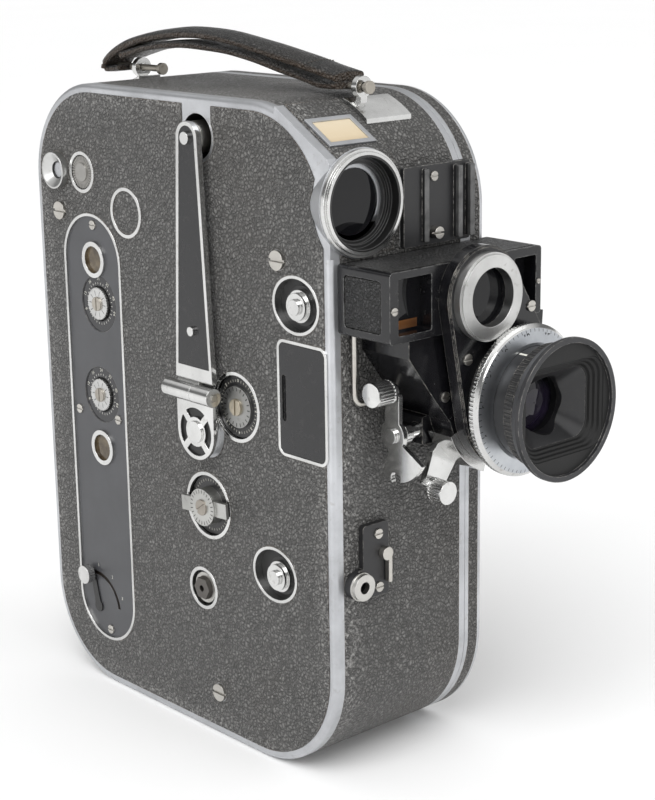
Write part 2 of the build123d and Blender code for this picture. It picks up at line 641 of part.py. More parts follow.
with BuildPart() as rangefinder_housing:
    block_y(HOUSING_MIDDLE, HOUSING_SIZE, 1.2, HOUSING_BACK_Y, HOUSING_FRONT_Y)
    for centre, size in (LEFT_WINDOW, RIGHT_WINDOW):
        block_y(centre, size, 0.6, HOUSING_FRONT_Y + WINDOW_POCKET, HOUSING_FRONT_Y,
                Mode.SUBTRACT)
    block_x(END_PANEL[0], END_PANEL[1], 1.2, HOUSING_ENDS[0], HOUSING_ENDS[0] + 0.8,
            Mode.SUBTRACT)
    with BuildSketch(Plane.XY.offset(HOUSING_LEVELS[1] - 0.5)) as top_panel:
        with Locations((HOUSING_MIDDLE[0], (HOUSING_BACK_Y + HOUSING_FRONT_Y) / 2)):
            RectangleRounded(HOUSING_SIZE[0] - 2.4, 19.6, 1.0)
    extrude(top_panel.sketch, amount=1.0, mode=Mode.SUBTRACT)
    door_relief()
    cut_shanks()
save(rangefinder_housing, "rangefinder_housing")

with BuildPart() as rangefinder_leather:
    block_x(END_PANEL[0], (END_PANEL[1][0] - 0.6, END_PANEL[1][1] - 0.6), 1.0,
            HOUSING_ENDS[0] + 0.1, HOUSING_ENDS[0] + 0.8)
    with BuildSketch(Plane.XY.offset(HOUSING_LEVELS[1] - 0.5)) as top_panel:
        with Locations((HOUSING_MIDDLE[0], (HOUSING_BACK_Y + HOUSING_FRONT_Y) / 2)):
            RectangleRounded(HOUSING_SIZE[0] - 3.0, 19.0, 1.0)
    extrude(top_panel.sketch, amount=0.6)
save(rangefinder_leather, "rangefinder_leather")

with BuildPart() as front_glasses:
    for centre, size in (LEFT_WINDOW, RIGHT_WINDOW):
        block_y(centre, size, 0.6, HOUSING_FRONT_Y + WINDOW_POCKET,
                HOUSING_FRONT_Y + WINDOW_POCKET - 1.2)
    round_y(TELE_AXIS, 8.7, -99.0, -100.5)
save(front_glasses, "front_glasses")

# ------------------------------------------------------- lens mount and the lens
PLATE_TOP_RADIUS = 15.0
PLATE_LOW_RADIUS = 21.5
SPIGOT = 12.0
HOOD_MOUTH = (35.0, 29.0)
HOOD_THROAT = (13.0, 9.0)
TUBE = 5.8
BARREL = 17.0
BASE_RADIUS = 21.4
LEVER_BAND = (21.6, 24.2)
LEVER_ANGLES = (202.0, 250.0)
LEVER_KNOB = (-4.5, 96.2)              # X, Z
INDEX_SHAFT = (-84.0, 114.0)           # Y, Z

with BuildPart() as mount_base:
    with BuildSketch(front_plane(HOUSING_BACK_Y)) as footprint:
        with BuildLine():
            Polyline(
                (-20.0, HOUSING_LEVELS[0]),
                (-20.0, 140.0),
                (-9.5, 126.0),
                (-3.0, 118.0),
                (36.0, 118.0),
                (38.0, HOUSING_LEVELS[0]),
                (-20.0, HOUSING_LEVELS[0]),
            )
        make_face()
    extrude(footprint.sketch, amount=HOUSING_BACK_Y - BASE_FRONT_Y)
    round_y(LENS_AXIS, BASE_RADIUS, HOUSING_BACK_Y, BASE_FRONT_Y)
    block_y((-2.0, 114.0), (8.0, 9.0), 1.0, HOUSING_BACK_Y, -86.8)
    round_x(INDEX_SHAFT, 2.4 + RUN, -10.0, 0.0, Mode.SUBTRACT)
    round_y(LENS_AXIS, TUBE + 0.05, HOUSING_BACK_Y, BASE_FRONT_Y, Mode.SUBTRACT)
    door_relief()
    cut_shanks()
save(mount_base, "mount_base")


def pear(shrink, y_from, y_to, mode=Mode.ADD):
    """Plate with a small round top and a large round foot."""
    with BuildSketch(front_plane(y_from)) as profile:
        with Locations(TELE_AXIS):
            Circle(PLATE_TOP_RADIUS - shrink)
        with Locations(LENS_AXIS):
            Circle(PLATE_LOW_RADIUS - shrink)
        make_hull()
    extrude(profile.sketch, amount=y_from - y_to, mode=mode)


with BuildPart() as mount_plate:
    pear(0, PLATE_BACK_Y, PLATE_FRONT_Y + 0.6)
    pear(0.6, PLATE_FRONT_Y + 0.6, PLATE_FRONT_Y)
    round_y(TELE_AXIS, 8.8, PLATE_BACK_Y, PLATE_FRONT_Y, Mode.SUBTRACT)
    round_y(TELE_AXIS, 8.8, PLATE_BACK_Y, -99.0)
    round_y(LENS_AXIS, SPIGOT, PLATE_BACK_Y, PLATE_FRONT_Y, Mode.SUBTRACT)
    cut_shanks()
save(mount_plate, "mount_plate")

with BuildPart() as tele_ring:
    round_y(TELE_AXIS, 13.3, PLATE_FRONT_Y, -104.6)
    round_y(TELE_AXIS, 12.7, -104.6, -105.3)
    round_y(TELE_AXIS, 8.8, PLATE_FRONT_Y, -105.3, Mode.SUBTRACT)
save(tele_ring, "tele_ring")


def turned_y(centre, profile_points, mode=Mode.ADD):
    """Turned piece about an axis along Y; points are (radius, Y)."""
    with BuildSketch(Plane.XY.offset(centre[1])) as profile:
        with BuildLine():
            Polyline(*[(centre[0] + radius, y) for radius, y in profile_points], close=True)
        make_face()
    axis = Axis((centre[0], 0, centre[1]), (0, 1, 0))
    revolve(profile.sketch, axis=axis, mode=mode)


def hood_funnel():
    """Rectangular light funnel cut back from the hood mouth to the glass."""
    with BuildSketch(front_plane(-122.6)) as mouth:
        with Locations(LENS_AXIS):
            RectangleRounded(*HOOD_MOUTH, 6.5)
    with BuildSketch(front_plane(-110.4)) as throat:
        with Locations(LENS_AXIS):
            RectangleRounded(*HOOD_THROAT, 3.2)
    loft([mouth.sketch, throat.sketch], mode=Mode.SUBTRACT)
    block_y(LENS_AXIS, HOOD_MOUTH, 6.5, -122.5, -124.0, Mode.SUBTRACT)


with BuildPart() as lens_barrel:
    turned_y(LENS_AXIS, (
        (TUBE, -72.8), (TUBE, BASE_FRONT_Y), (SPIGOT, BASE_FRONT_Y), (SPIGOT, PLATE_FRONT_Y),
        (20.0, PLATE_FRONT_Y), (20.0, -105.4), (BARREL, -105.4), (BARREL, -114.4),
        (16.0, -114.4), (16.0, -118.4), (9.0, -118.4), (9.0, -111.0), (10.0, -111.0),
        (10.0, -100.0), (4.6, -96.0), (4.6, -72.8),
    ))
    hood_funnel()
save(lens_barrel, "lens_barrel")

with BuildPart() as focus_ring:
    turned_y(LENS_AXIS, (
        (BARREL + RUN, -105.5), (23.4, -105.5), (23.4, -107.1), (22.5, -107.9),
        (22.3, -108.3), (18.0, -109.4), (BARREL + RUN, -109.4),
    ))
    knurl_y(LENS_AXIS, 23.5, 0.35, 110, -105.5, -107.1)
save(focus_ring, "focus_ring")

with BuildPart() as aperture_ring:
    turned_y(LENS_AXIS, (
        (16.0 + RUN, -114.5), (17.6, -114.5), (18.9, -115.0), (18.9, -118.0),
        (18.2, -118.3), (16.0 + RUN, -118.3),
    ))
    knurl_y(LENS_AXIS, 19.0, 0.35, 90, -115.0, -118.0)
save(aperture_ring, "aperture_ring")

with BuildPart() as taking_lens:
    turned_y(LENS_AXIS, (
        (0, -104.0), (10.0, -104.0), (10.0, -108.0), (8.0, -109.0), (4.0, -110.0), (0, -110.3),
    ))
save(taking_lens, "taking_lens")

with BuildPart() as lens_hood:
    turned_y(LENS_AXIS, (
        (9.0, -118.4), (18.6, -118.4), (20.6, -119.8), (21.8, -122.2),
        (21.8, -123.6), (20.1, -123.6), (20.1, -122.4), (9.0, -122.4),
    ))
    hood_funnel()
save(lens_hood, "lens_hood")


def lever_sector(inner, y_from, y_to):
    """Part of a flat ring about the lens, on its lower left."""
    reach = 60.0
    corners = [
        (
            LENS_AXIS[0] + reach * math.cos(math.radians(angle)),
            LENS_AXIS[1] + reach * math.sin(math.radians(angle)),
        )
        for angle in LEVER_ANGLES
    ]
    with BuildSketch(front_plane(y_from)) as sector:
        with BuildLine():
            Polyline(LENS_AXIS, corners[0], corners[1], close=True)
        make_face()
        with Locations(LENS_AXIS):
            Circle(LEVER_BAND[1], mode=Mode.INTERSECT)
            Circle(inner, mode=Mode.SUBTRACT)
    extrude(sector.sketch, amount=y_from - y_to)


with BuildPart() as focus_lever:
    round_y(LENS_AXIS, 16.0, BASE_FRONT_Y - 0.1, PLATE_BACK_Y + 0.1)
    lever_sector(10.0, BASE_FRONT_Y - 0.1, PLATE_BACK_Y + 0.1)
    lever_sector(LEVER_BAND[0], -87.6, PLATE_BACK_Y + 0.1)
    round_y(LENS_AXIS, SPIGOT + RUN, BASE_FRONT_Y - 0.1, PLATE_BACK_Y + 0.1, Mode.SUBTRACT)
    with BuildSketch(front_plane(-88.2)) as arm:
        with BuildLine():
            Polyline((5.4, 104.0), (-2.4, 110.4), (-5.0, 108.0), (-8.6, 98.4), (-2.0, 94.0),
                     close=True)
        make_face()
        with Locations(LENS_AXIS):
            Circle(LEVER_BAND[0], mode=Mode.SUBTRACT)
    extrude(arm.sketch, amount=2.2)
    round_y(LEVER_KNOB, 2.4, -88.2, -91.5)
    round_y(LEVER_KNOB, 3.6, -90.4, -96.4)
    knurl_y(LEVER_KNOB, 3.7, 0.35, 22, -91.2, -95.6)
save(focus_lever, "focus_lever")

with BuildPart() as index_lever:
    round_x(INDEX_SHAFT, 2.4, -17.0, -1.0)
    with BuildSketch(side_plane(-16.0)) as quadrant:
        with BuildLine():
            Polyline(INDEX_SHAFT, (-98.0, 106.0), (-92.0, 96.0), (-79.0, 99.0), close=True)
        make_face()
        with Locations(INDEX_SHAFT):
            Circle(14.5, mode=Mode.INTERSECT)
            Circle(5.0)
        with Locations((-85.5, 101.0)):
            Circle(2.0, mode=Mode.SUBTRACT)
    extrude(quadrant.sketch, amount=1.6)
    block_x((INDEX_SHAFT[0], 121.0), (6.0, 13.0), 1.5, -16.0, -14.4)
    round_x(INDEX_SHAFT, 3.3, -12.6, -10.0)
    round_x((INDEX_SHAFT[0], 128.0), 2.2, -17.6, -15.0)
    round_x((INDEX_SHAFT[0], 128.0), 3.7, -24.6, -17.0)
    knurl_x((INDEX_SHAFT[0], 128.0), 3.8, 0.35, 22, -23.8, -17.8)
save(index_lever, "index_lever")

with BuildPart() as wire_link:
    with BuildLine() as wire_path:
        Polyline((-24.5, -77.0, HOUSING_LEVELS[0]), (-24.5, -77.0, 123.5), (-11.0, -77.0, 124.5))
        fillet(wire_path.vertices().sort_by_distance((-24.5, -77.0, 123.5))[0], 3.0)
    with BuildSketch(Plane(origin=(-24.5, -77.0, HOUSING_LEVELS[0]), z_dir=(0, 0, -1))) as wire:
        Circle(0.9)
    sweep(wire.sketch, path=wire_path.line)
save(wire_link, "wire_link")

# ------------------------------------------------------------- release controls
RELEASE_PLATE = (-16.8, 73.2)
RELEASE_SOCKET = (-23.8, 66.5)

with BuildPart() as release_plate:
    block_y(RELEASE_PLATE, (10.8, 23.8), 1.2, HOUSING_BACK_Y, RELEASE_FRONT)
    block_y((-20.0, 66.5), (9.0, 9.8), 1.0, HOUSING_BACK_Y, RELEASE_FRONT)
    round_y(RELEASE_SOCKET, 4.5, HOUSING_BACK_Y, -78.6)
    round_y(RELEASE_SOCKET, 4.2, -78.6, -80.0)
    round_y(RELEASE_SOCKET, 1.9, -76.5, -80.6, Mode.SUBTRACT)
    cut_shanks()
save(release_plate, "release_plate")

with BuildPart() as release_lever:
    block_y((-12.6, 70.8), (1.4, 10.6), 0.6, RELEASE_FRONT - 0.4, -79.6)
    round_y((-13.6, 75.0), 2.1, RELEASE_FRONT - RUN, -79.6)
save(release_lever, "release_lever")

# -------------------------------------------------------------- winding crank
HINGE = (-38.0, 118.9)                 # X, Z
HINGE_RADIUS = 3.0
PIN = 1.2
HUB_RADIUS = 9.2
HUB_BOSS = 7.5
HUB_FRONT_X = -36.6
HUB_BACK_X = -35.4
ARM_FRONT_X = -36.6
ARM_BACK_X = -34.6
ARM_TIP = 5.1
ARM_ROOT_Z = 122.4
KNUCKLE_SPLIT_Y = -17.4
HINGE_ENDS = (-3.4, -26.4)


def knuckle(y_from, y_to):
    """Hinge barrel about the pin."""
    with BuildSketch(front_plane(y_from)) as barrel:
        with Locations(HINGE):
            Circle(HINGE_RADIUS)
            Circle(PIN, mode=Mode.SUBTRACT)
    extrude(barrel.sketch, amount=y_from - y_to)


with BuildPart() as crank_hub:
    round_x(CRANK_AXIS, HUB_BOSS, HUB_BACK_X, SIDE_X)
    round_x(CRANK_AXIS, SHAFT, SIDE_X, -2.5)
    with BuildSketch(side_plane(HUB_FRONT_X)) as shield:
        with Locations(CRANK_AXIS):
            Circle(HUB_RADIUS)
            with Locations((0, 4.9)):
                Rectangle(2 * HUB_RADIUS, 9.8)
    extrude(shield.sketch, amount=HUB_BACK_X - HUB_FRONT_X)
    with BuildSketch(side_plane(HUB_FRONT_X)) as slots:
        with Locations(CRANK_AXIS):
            Circle(7.9)
            Circle(4.9, mode=Mode.SUBTRACT)
            for angle in (45, 135):
                with Locations(Location((0, 0, 0), (0, 0, angle))):
                    Rectangle(20.0, 2.2, mode=Mode.SUBTRACT)
    extrude(slots.sketch, amount=0.8, mode=Mode.SUBTRACT)
    round_x(CRANK_AXIS, 3.6, HUB_FRONT_X - 0.6, HUB_FRONT_X)
    knuckle(KNUCKLE_SPLIT_Y - 0.05, HINGE_ENDS[1])
    block_x(((KNUCKLE_SPLIT_Y + HINGE_ENDS[1]) / 2 + 1.0, 116.0), (6.0, 5.0), 0.3,
            HUB_FRONT_X, HUB_BACK_X)
save(crank_hub, "crank_hub")

with BuildPart() as hinge_pin:
    with BuildSketch(front_plane(HINGE_ENDS[0] + 0.4)) as pin:
        with Locations(HINGE):
            Circle(PIN - RUN)
    extrude(pin.sketch, amount=HINGE_ENDS[0] - HINGE_ENDS[1] + 0.8)
save(hinge_pin, "hinge_pin")


def arm_profile(x_from, x_to, shrink, root_z, mode=Mode.ADD):
    """Tapered bar from the hinge up to the round tip."""
    middle = CRANK_AXIS[0]
    with BuildSketch(side_plane(x_from)) as profile:
        with BuildLine():
            Polyline(
                (middle - HUB_RADIUS + shrink, root_z),
                (middle + HUB_RADIUS - shrink, root_z),
                (middle + ARM_TIP - shrink, GRIP_POCKET[1]),
                (middle - ARM_TIP + shrink, GRIP_POCKET[1]),
                close=True,
            )
        make_face()
        with Locations(GRIP_POCKET):
            Circle(ARM_TIP - shrink)
    extrude(profile.sketch, amount=x_to - x_from, mode=mode)


with BuildPart() as crank_arm:
    arm_profile(ARM_FRONT_X, ARM_BACK_X, 0, ARM_ROOT_Z)
    knuckle(HINGE_ENDS[0], KNUCKLE_SPLIT_Y + 0.05)
    block_x(((HINGE_ENDS[0] + KNUCKLE_SPLIT_Y) / 2 - 1.5, 120.9), (11.0, 3.4), 0.3,
            ARM_FRONT_X, ARM_BACK_X)
    arm_profile(ARM_FRONT_X, ARM_FRONT_X + 0.6, 1.3, ARM_ROOT_Z + 4.5, Mode.SUBTRACT)
    round_x((-14.9, 138.5), 1.5, ARM_FRONT_X - 1.0, ARM_BACK_X)
    round_x(GRIP_POCKET, 1.6, ARM_BACK_X, -18.6)
    round_x(GRIP_POCKET, 2.0, ARM_FRONT_X - 0.9, ARM_BACK_X)
    with BuildSketch(front_plane(HINGE_ENDS[0] + 1.0)) as bore:
        with Locations(HINGE):
            Circle(PIN)
    extrude(bore.sketch, amount=30.0, mode=Mode.SUBTRACT)
save(crank_arm, "crank_arm")

with BuildPart() as arm_inlay:
    arm_profile(ARM_FRONT_X + 0.2, ARM_FRONT_X + 0.6, 1.3, ARM_ROOT_Z + 4.5)
    round_x((-14.9, 138.5), 1.5, ARM_FRONT_X, ARM_BACK_X, Mode.SUBTRACT)
    round_x(GRIP_POCKET, 2.0, ARM_FRONT_X, ARM_BACK_X, Mode.SUBTRACT)
save(arm_inlay, "arm_inlay")

with BuildPart() as crank_grip:
    round_x(GRIP_POCKET, 5.0, ARM_BACK_X + 0.2, -19.0)
    round_x(GRIP_POCKET, 1.6 + RUN, ARM_BACK_X, -18.4, Mode.SUBTRACT)
save(crank_grip, "crank_grip")

# --------------------------------------------------------- dials, knobs and rims
BEZEL = 1.2
WINDOW_ONE = (43.7, 153.2)
WINDOW_TWO = (43.3, 87.3)
DIAL_ONE = (42.3, 138.2)
DIAL_TWO = (43.0, 106.2)
SMALL_DIAL = 5.6
DIAL_DISH = 9.8
PANEL_LEVER = (50.5, 27.0)
LEVER_BUTTON = (53.3, 38.9)
LEVER_SLOT = (11.5, 12.9)              # inner and outer radius
LEVER_SWEEP = (75, 125, 172)           # degrees from +Y towards +Z

with BuildPart() as side_bezels:
    for centre, radius, depth in SIDE_ROUNDS.values():
        round_x(centre, radius, SIDE_X - RIM_PROUD, SIDE_X + depth)
        round_x(centre, radius - BEZEL, SIDE_X - RIM_PROUD, SIDE_X + depth, Mode.SUBTRACT)
    for centre in (UPPER_OVAL, LOWER_OVAL):
        oval_x(centre, 0, SIDE_X - RIM_PROUD, SIDE_X + OVAL_DEPTH)
        oval_x(centre, RIM_WIDTH, SIDE_X - RIM_PROUD, SIDE_X + OVAL_DEPTH, Mode.SUBTRACT)
    cover_x(0, SIDE_X - RIM_PROUD, SIDE_X + COVER_DEPTH)
    cover_x(RIM_WIDTH, SIDE_X - RIM_PROUD, SIDE_X + COVER_DEPTH, Mode.SUBTRACT)
    panel_x(0, SIDE_X - RIM_PROUD, SIDE_X + PANEL_DEPTH)
    panel_x(RIM_WIDTH, SIDE_X - RIM_PROUD, SIDE_X + PANEL_DEPTH, Mode.SUBTRACT)
save(side_bezels, "side_bezels")

with BuildPart() as counter_dial:
    round_x(COUNTER_DIAL, 10.0, SIDE_X + 0.7, SIDE_X + DIAL_DEPTH - RUN)
    round_x(COUNTER_DIAL, 6.7, SIDE_X - 0.2, SIDE_X + 0.7)
    round_x(COUNTER_DIAL, 2.7, SIDE_X - 1.0, SIDE_X - 0.2)
    round_x(COUNTER_DIAL, KNOB_SHAFT, SIDE_X + DIAL_DEPTH - RUN, SIDE_X + SIDE_WALL + 1.5)
    block_x(COUNTER_DIAL, (0.8, 6.6), 0.2, SIDE_X - 1.0, SIDE_X - 0.5, Mode.SUBTRACT)
save(counter_dial, "counter_dial")

with BuildPart() as speed_knob:
    round_x(SPEED_KNOB, 9.9, SIDE_X + 0.9, SIDE_X + DIAL_DEPTH - RUN)
    round_x(SPEED_KNOB, 6.2, SIDE_X - 3.2, SIDE_X + 0.9)
    with BuildSketch(side_plane(SIDE_X - 2.4)) as wings:
        with Locations(Location((SPEED_KNOB[0], SPEED_KNOB[1], 0), (0, 0, -4))):
            Rectangle(23.0, 5.0)
    extrude(wings.sketch, amount=1.2)
    round_x(SPEED_KNOB, 2.6, SIDE_X - 3.7, SIDE_X - 3.2)
    with BuildSketch(side_plane(SIDE_X - 3.7)) as knob_slot:
        with Locations(Location((SPEED_KNOB[0], SPEED_KNOB[1], 0), (0, 0, -35))):
            Rectangle(5.6, 0.8)
    extrude(knob_slot.sketch, amount=0.4, mode=Mode.SUBTRACT)
    round_x(SPEED_KNOB, KNOB_SHAFT, SIDE_X + DIAL_DEPTH - RUN, SIDE_X + SIDE_WALL + 1.5)
save(speed_knob, "speed_knob")

with BuildPart() as motor_shaft:
    round_x(MOTOR_SHAFT, SHAFT, SIDE_X + 1.0, 4.0)
    round_x(MOTOR_SHAFT, 5.2, SIDE_X + 0.4, SIDE_X + 1.8)
    with BuildSketch(side_plane(SIDE_X - 1.2)) as square_end:
        with Locations(MOTOR_SHAFT):
            RegularPolygon(3.9, 6)
    extrude(square_end.sketch, amount=2.6)
    round_x(MOTOR_SHAFT, 1.1, SIDE_X - 1.2, SIDE_X + 3.0, Mode.SUBTRACT)
save(motor_shaft, "motor_shaft")


def slide_button(centre):
    """Stepped round button that slides in an oval recess."""
    with BuildPart() as piece:
        round_x(centre, 6.2, SIDE_X + 1.2, SIDE_X + OVAL_DEPTH - RUN)
        round_x(centre, 5.0, SIDE_X - 0.4, SIDE_X + 1.2)
        round_x(centre, 4.2, SIDE_X - 1.8, SIDE_X - 0.4)
        round_x(centre, 2.4, SIDE_X - 2.8, SIDE_X - 1.8)
    return piece


upper_button = slide_button((UPPER_OVAL[0] - 1.6, UPPER_OVAL[1]))
save(upper_button, "upper_button")
lower_button = slide_button((LOWER_OVAL[0] - 2.2, LOWER_OVAL[1]))
save(lower_button, "lower_button")

with BuildPart() as cover_plate:
    cover_x(RIM_WIDTH + 0.15, SIDE_X - 0.3, SIDE_X + 1.2)
    nick = (COVER[0] + COVER_SIZE[0] / 2 - 3.0, COVER[1])
    with BuildSketch(side_plane(SIDE_X - 0.3)) as thumb_nick:
        with Locations(nick):
            SlotOverall(14.5, 1.9, rotation=90)
    extrude(thumb_nick.sketch, amount=0.8, mode=Mode.SUBTRACT)
save(cover_plate, "cover_plate")


def lever_slot():
    """Arc-shaped groove that the panel lever travels along."""
    reach = 40.0
    corners = [
        (
            PANEL_LEVER[0] + reach * math.cos(math.radians(angle)),
            PANEL_LEVER[1] + reach * math.sin(math.radians(angle)),
        )
        for angle in LEVER_SWEEP
    ]
    with BuildSketch(side_plane(PANEL_FACE_X)) as groove:
        with BuildLine():
            Polyline(PANEL_LEVER, *corners, close=True)
        make_face()
        with Locations(PANEL_LEVER):
            Circle(LEVER_SLOT[1], mode=Mode.INTERSECT)
            Circle(LEVER_SLOT[0], mode=Mode.SUBTRACT)
    extrude(groove.sketch, amount=0.6, mode=Mode.SUBTRACT)


with BuildPart() as panel_plate:
    panel_x(RIM_WIDTH, PANEL_FACE_X, SIDE_X + PANEL_DEPTH)
    for centre in (DIAL_ONE, DIAL_TWO):
        round_x(centre, SMALL_DIAL + 0.5, PANEL_FACE_X, SIDE_X + PANEL_DEPTH, Mode.SUBTRACT)
        round_x(centre, DIAL_DISH, PANEL_FACE_X, PANEL_FACE_X + 0.4, Mode.SUBTRACT)
    for centre in (WINDOW_ONE, WINDOW_TWO):
        round_x(centre, 6.2, PANEL_FACE_X, SIDE_X + PANEL_DEPTH, Mode.SUBTRACT)
    lever_slot()
    cut_shanks()
save(panel_plate, "panel_plate")

with BuildPart() as panel_windows:
    for centre in (WINDOW_ONE, WINDOW_TWO):
        round_x(centre, 6.2, SIDE_X - 0.5, SIDE_X + PANEL_DEPTH)
        round_x(centre, 4.6, SIDE_X - 0.5, SIDE_X + 0.5, Mode.SUBTRACT)
save(panel_windows, "panel_windows")


def serrated_dial(centre):
    """Small setting wheel with a serrated rim."""
    with BuildPart() as piece:
        round_x(centre, SMALL_DIAL, SIDE_X - 0.3, SIDE_X + PANEL_DEPTH - RUN)
        knurl_x(centre, SMALL_DIAL, 0.3, 40, SIDE_X - 0.3, SIDE_X + PANEL_DEPTH - RUN)
        round_x(centre, 2.4, SIDE_X - 0.9, SIDE_X - 0.3)
        block_x(centre, (0.7, 5.0), 0.2, SIDE_X - 0.9, SIDE_X - 0.5, Mode.SUBTRACT)
    return piece


upper_dial = serrated_dial(DIAL_ONE)
save(upper_dial, "upper_dial")
lower_dial = serrated_dial(DIAL_TWO)
save(lower_dial, "lower_dial")

with BuildPart() as panel_lever:
    round_x(PANEL_LEVER, 2.2, PANEL_FACE_X - 0.5, PANEL_FACE_X - RUN)
    with BuildSketch(side_plane(PANEL_FACE_X - 0.5)) as lever:
        with BuildLine():
            Polyline((52.1, 26.6), (54.6, 38.6), (52.0, 39.2), (48.9, 27.4), close=True)
        make_face()
    extrude(lever.sketch, amount=0.4)
    round_x(LEVER_BUTTON, 1.6, PANEL_FACE_X - 2.0, PANEL_FACE_X - 0.5)
    round_x(LEVER_BUTTON, 3.3, PANEL_FACE_X - 4.4, PANEL_FACE_X - 1.6)
    knurl_x(LEVER_BUTTON, 3.4, 0.3, 22, PANEL_FACE_X - 4.0, PANEL_FACE_X - 1.6)
save(panel_lever, "panel_lever")

with BuildPart() as side_eyecup:
    round_x(EYECUP, 6.2, SIDE_X - 2.6, SIDE_X)
    with BuildSketch(side_plane(SIDE_X - 2.6)) as dish_mouth:
        with Locations(EYECUP):
            Circle(5.6)
    with BuildSketch(side_plane(SIDE_X - 0.4)) as dish_floor:
        with Locations(EYECUP):
            Circle(2.6)
    loft([dish_mouth.sketch, dish_floor.sketch], mode=Mode.SUBTRACT)
    round_x(EYECUP, 2.6, SIDE_X - 1.0, SIDE_X, Mode.SUBTRACT)
save(side_eyecup, "side_eyecup")

with BuildPart() as focus_disc:
    round_x(FOCUS_DISC, 5.6, SIDE_X - 0.2, SIDE_X + DISC_DEPTH - RUN)
    knurl_x(FOCUS_DISC, 5.6, 0.35, 34, SIDE_X - 0.2, SIDE_X + DISC_DEPTH - RUN)
    round_x(FOCUS_DISC, 3.1, SIDE_X - 0.6, SIDE_X - 0.2)
save(focus_disc, "focus_disc")

with BuildPart() as screws:
    for screw in SIDE_SCREWS:
        screw_x(*screw)
    for screw in FRONT_SCREWS:
        screw_y(*screw)
save(screws, "screws")

# ------------------------------------------------------------------ carrying handle
HANDLE_Z = 214.6
EYE_Y = (56.0, -55.0)
STRAP_HALF_WIDTH = 6.5
BAR = 1.1
FRONT_BRACKET_X = (-5.0, 13.6)

with BuildPart() as strap_handle:
    with BuildSketch(side_plane(-STRAP_HALF_WIDTH)) as strap:
        with BuildLine():
            Spline(
                (71.6, 215.0), (66.0, 219.4), (50.0, 226.2), (25.0, 229.2), (0.0, 227.6),
                (-22.0, 224.2), (-40.0, 220.6), (-50.2, 217.2),
            )
            Line((-50.2, 217.2), (-50.2, 213.6))
            Line((-50.2, 213.6), (-34.0, 213.6))
            Spline((-34.0, 213.6), (-15.0, 219.0), (7.5, 221.2), (30.0, 221.4), (50.0, 219.4),
                   (60.6, 218.6))
            Line((60.6, 218.6), (60.6, 212.6))
            Line((60.6, 212.6), (69.6, 212.6))
            Line((69.6, 212.6), (71.6, 215.0))
        make_face()
    extrude(strap.sketch, amount=2 * STRAP_HALF_WIDTH)
    round_y((0, HANDLE_Z), BAR, 72.0, 55.0, Mode.SUBTRACT)
    round_y((0, HANDLE_Z), BAR, -30.0, -60.0, Mode.SUBTRACT)
save(strap_handle, "strap_handle")

with BuildPart() as handle_loops:
    round_y((0, HANDLE_Z), BAR, 69.0, 44.0)
    round_y((0, HANDLE_Z), BAR, -33.0, -58.5)
    round_y((0, HANDLE_Z), BAR + 0.9, 45.0, 43.6)
    round_y((0, HANDLE_Z), BAR + 0.9, -57.8, -59.0)
save(handle_loops, "handle_loops")

with BuildPart() as handle_eyes:
    for eye_y in EYE_Y:
        with BuildSketch(front_plane(eye_y + 1.1)) as ring:
            with Locations((0, HANDLE_Z)):
                Circle(3.3)
            with Locations((0, HANDLE_Z - 3.6)):
                Rectangle(2.6, 4.4)
            with Locations((0, HANDLE_Z)):
                Circle(BAR + 0.35, mode=Mode.SUBTRACT)
        extrude(ring.sketch, amount=2.2)
    with BuildPart(mode=Mode.PRIVATE) as brackets:
        case_slab(-1.3, *FRONT_BRACKET_X)
        case_slab(-RUN, *FRONT_BRACKET_X, Mode.SUBTRACT)
        front_pad = Pos(4.3, -57.3, 205.0) * Box(40.0, 10.5, 20.0)
        rear_pad = Pos(0, 56.0, 205.0) * Box(9.0, 9.0, 20.0)
        add(front_pad + rear_pad, mode=Mode.INTERSECT)
    add(brackets.part)
    case_slab(-RUN, -9.5, 14.0, Mode.SUBTRACT)
save(handle_eyes, "handle_eyes")
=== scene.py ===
import math

import bmesh
import bpy
from mathutils import Matrix, Vector


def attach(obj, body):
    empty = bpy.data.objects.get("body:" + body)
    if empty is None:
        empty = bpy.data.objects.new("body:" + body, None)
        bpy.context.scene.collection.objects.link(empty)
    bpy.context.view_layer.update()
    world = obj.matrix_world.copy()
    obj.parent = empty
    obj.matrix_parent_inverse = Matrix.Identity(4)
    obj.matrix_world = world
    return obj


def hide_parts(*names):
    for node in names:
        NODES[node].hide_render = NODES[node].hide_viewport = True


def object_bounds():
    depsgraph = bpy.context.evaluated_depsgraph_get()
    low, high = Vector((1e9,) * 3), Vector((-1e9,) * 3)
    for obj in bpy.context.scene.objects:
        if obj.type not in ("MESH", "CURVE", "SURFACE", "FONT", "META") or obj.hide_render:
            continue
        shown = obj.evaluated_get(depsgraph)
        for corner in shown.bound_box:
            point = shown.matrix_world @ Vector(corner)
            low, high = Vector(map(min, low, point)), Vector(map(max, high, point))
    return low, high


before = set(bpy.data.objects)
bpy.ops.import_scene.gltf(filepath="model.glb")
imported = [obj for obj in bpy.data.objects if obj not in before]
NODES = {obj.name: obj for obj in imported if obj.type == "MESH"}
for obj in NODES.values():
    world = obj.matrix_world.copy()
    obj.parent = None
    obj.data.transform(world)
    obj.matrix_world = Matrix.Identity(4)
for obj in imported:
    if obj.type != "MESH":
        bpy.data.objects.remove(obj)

cad_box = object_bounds()
MM = 0.001

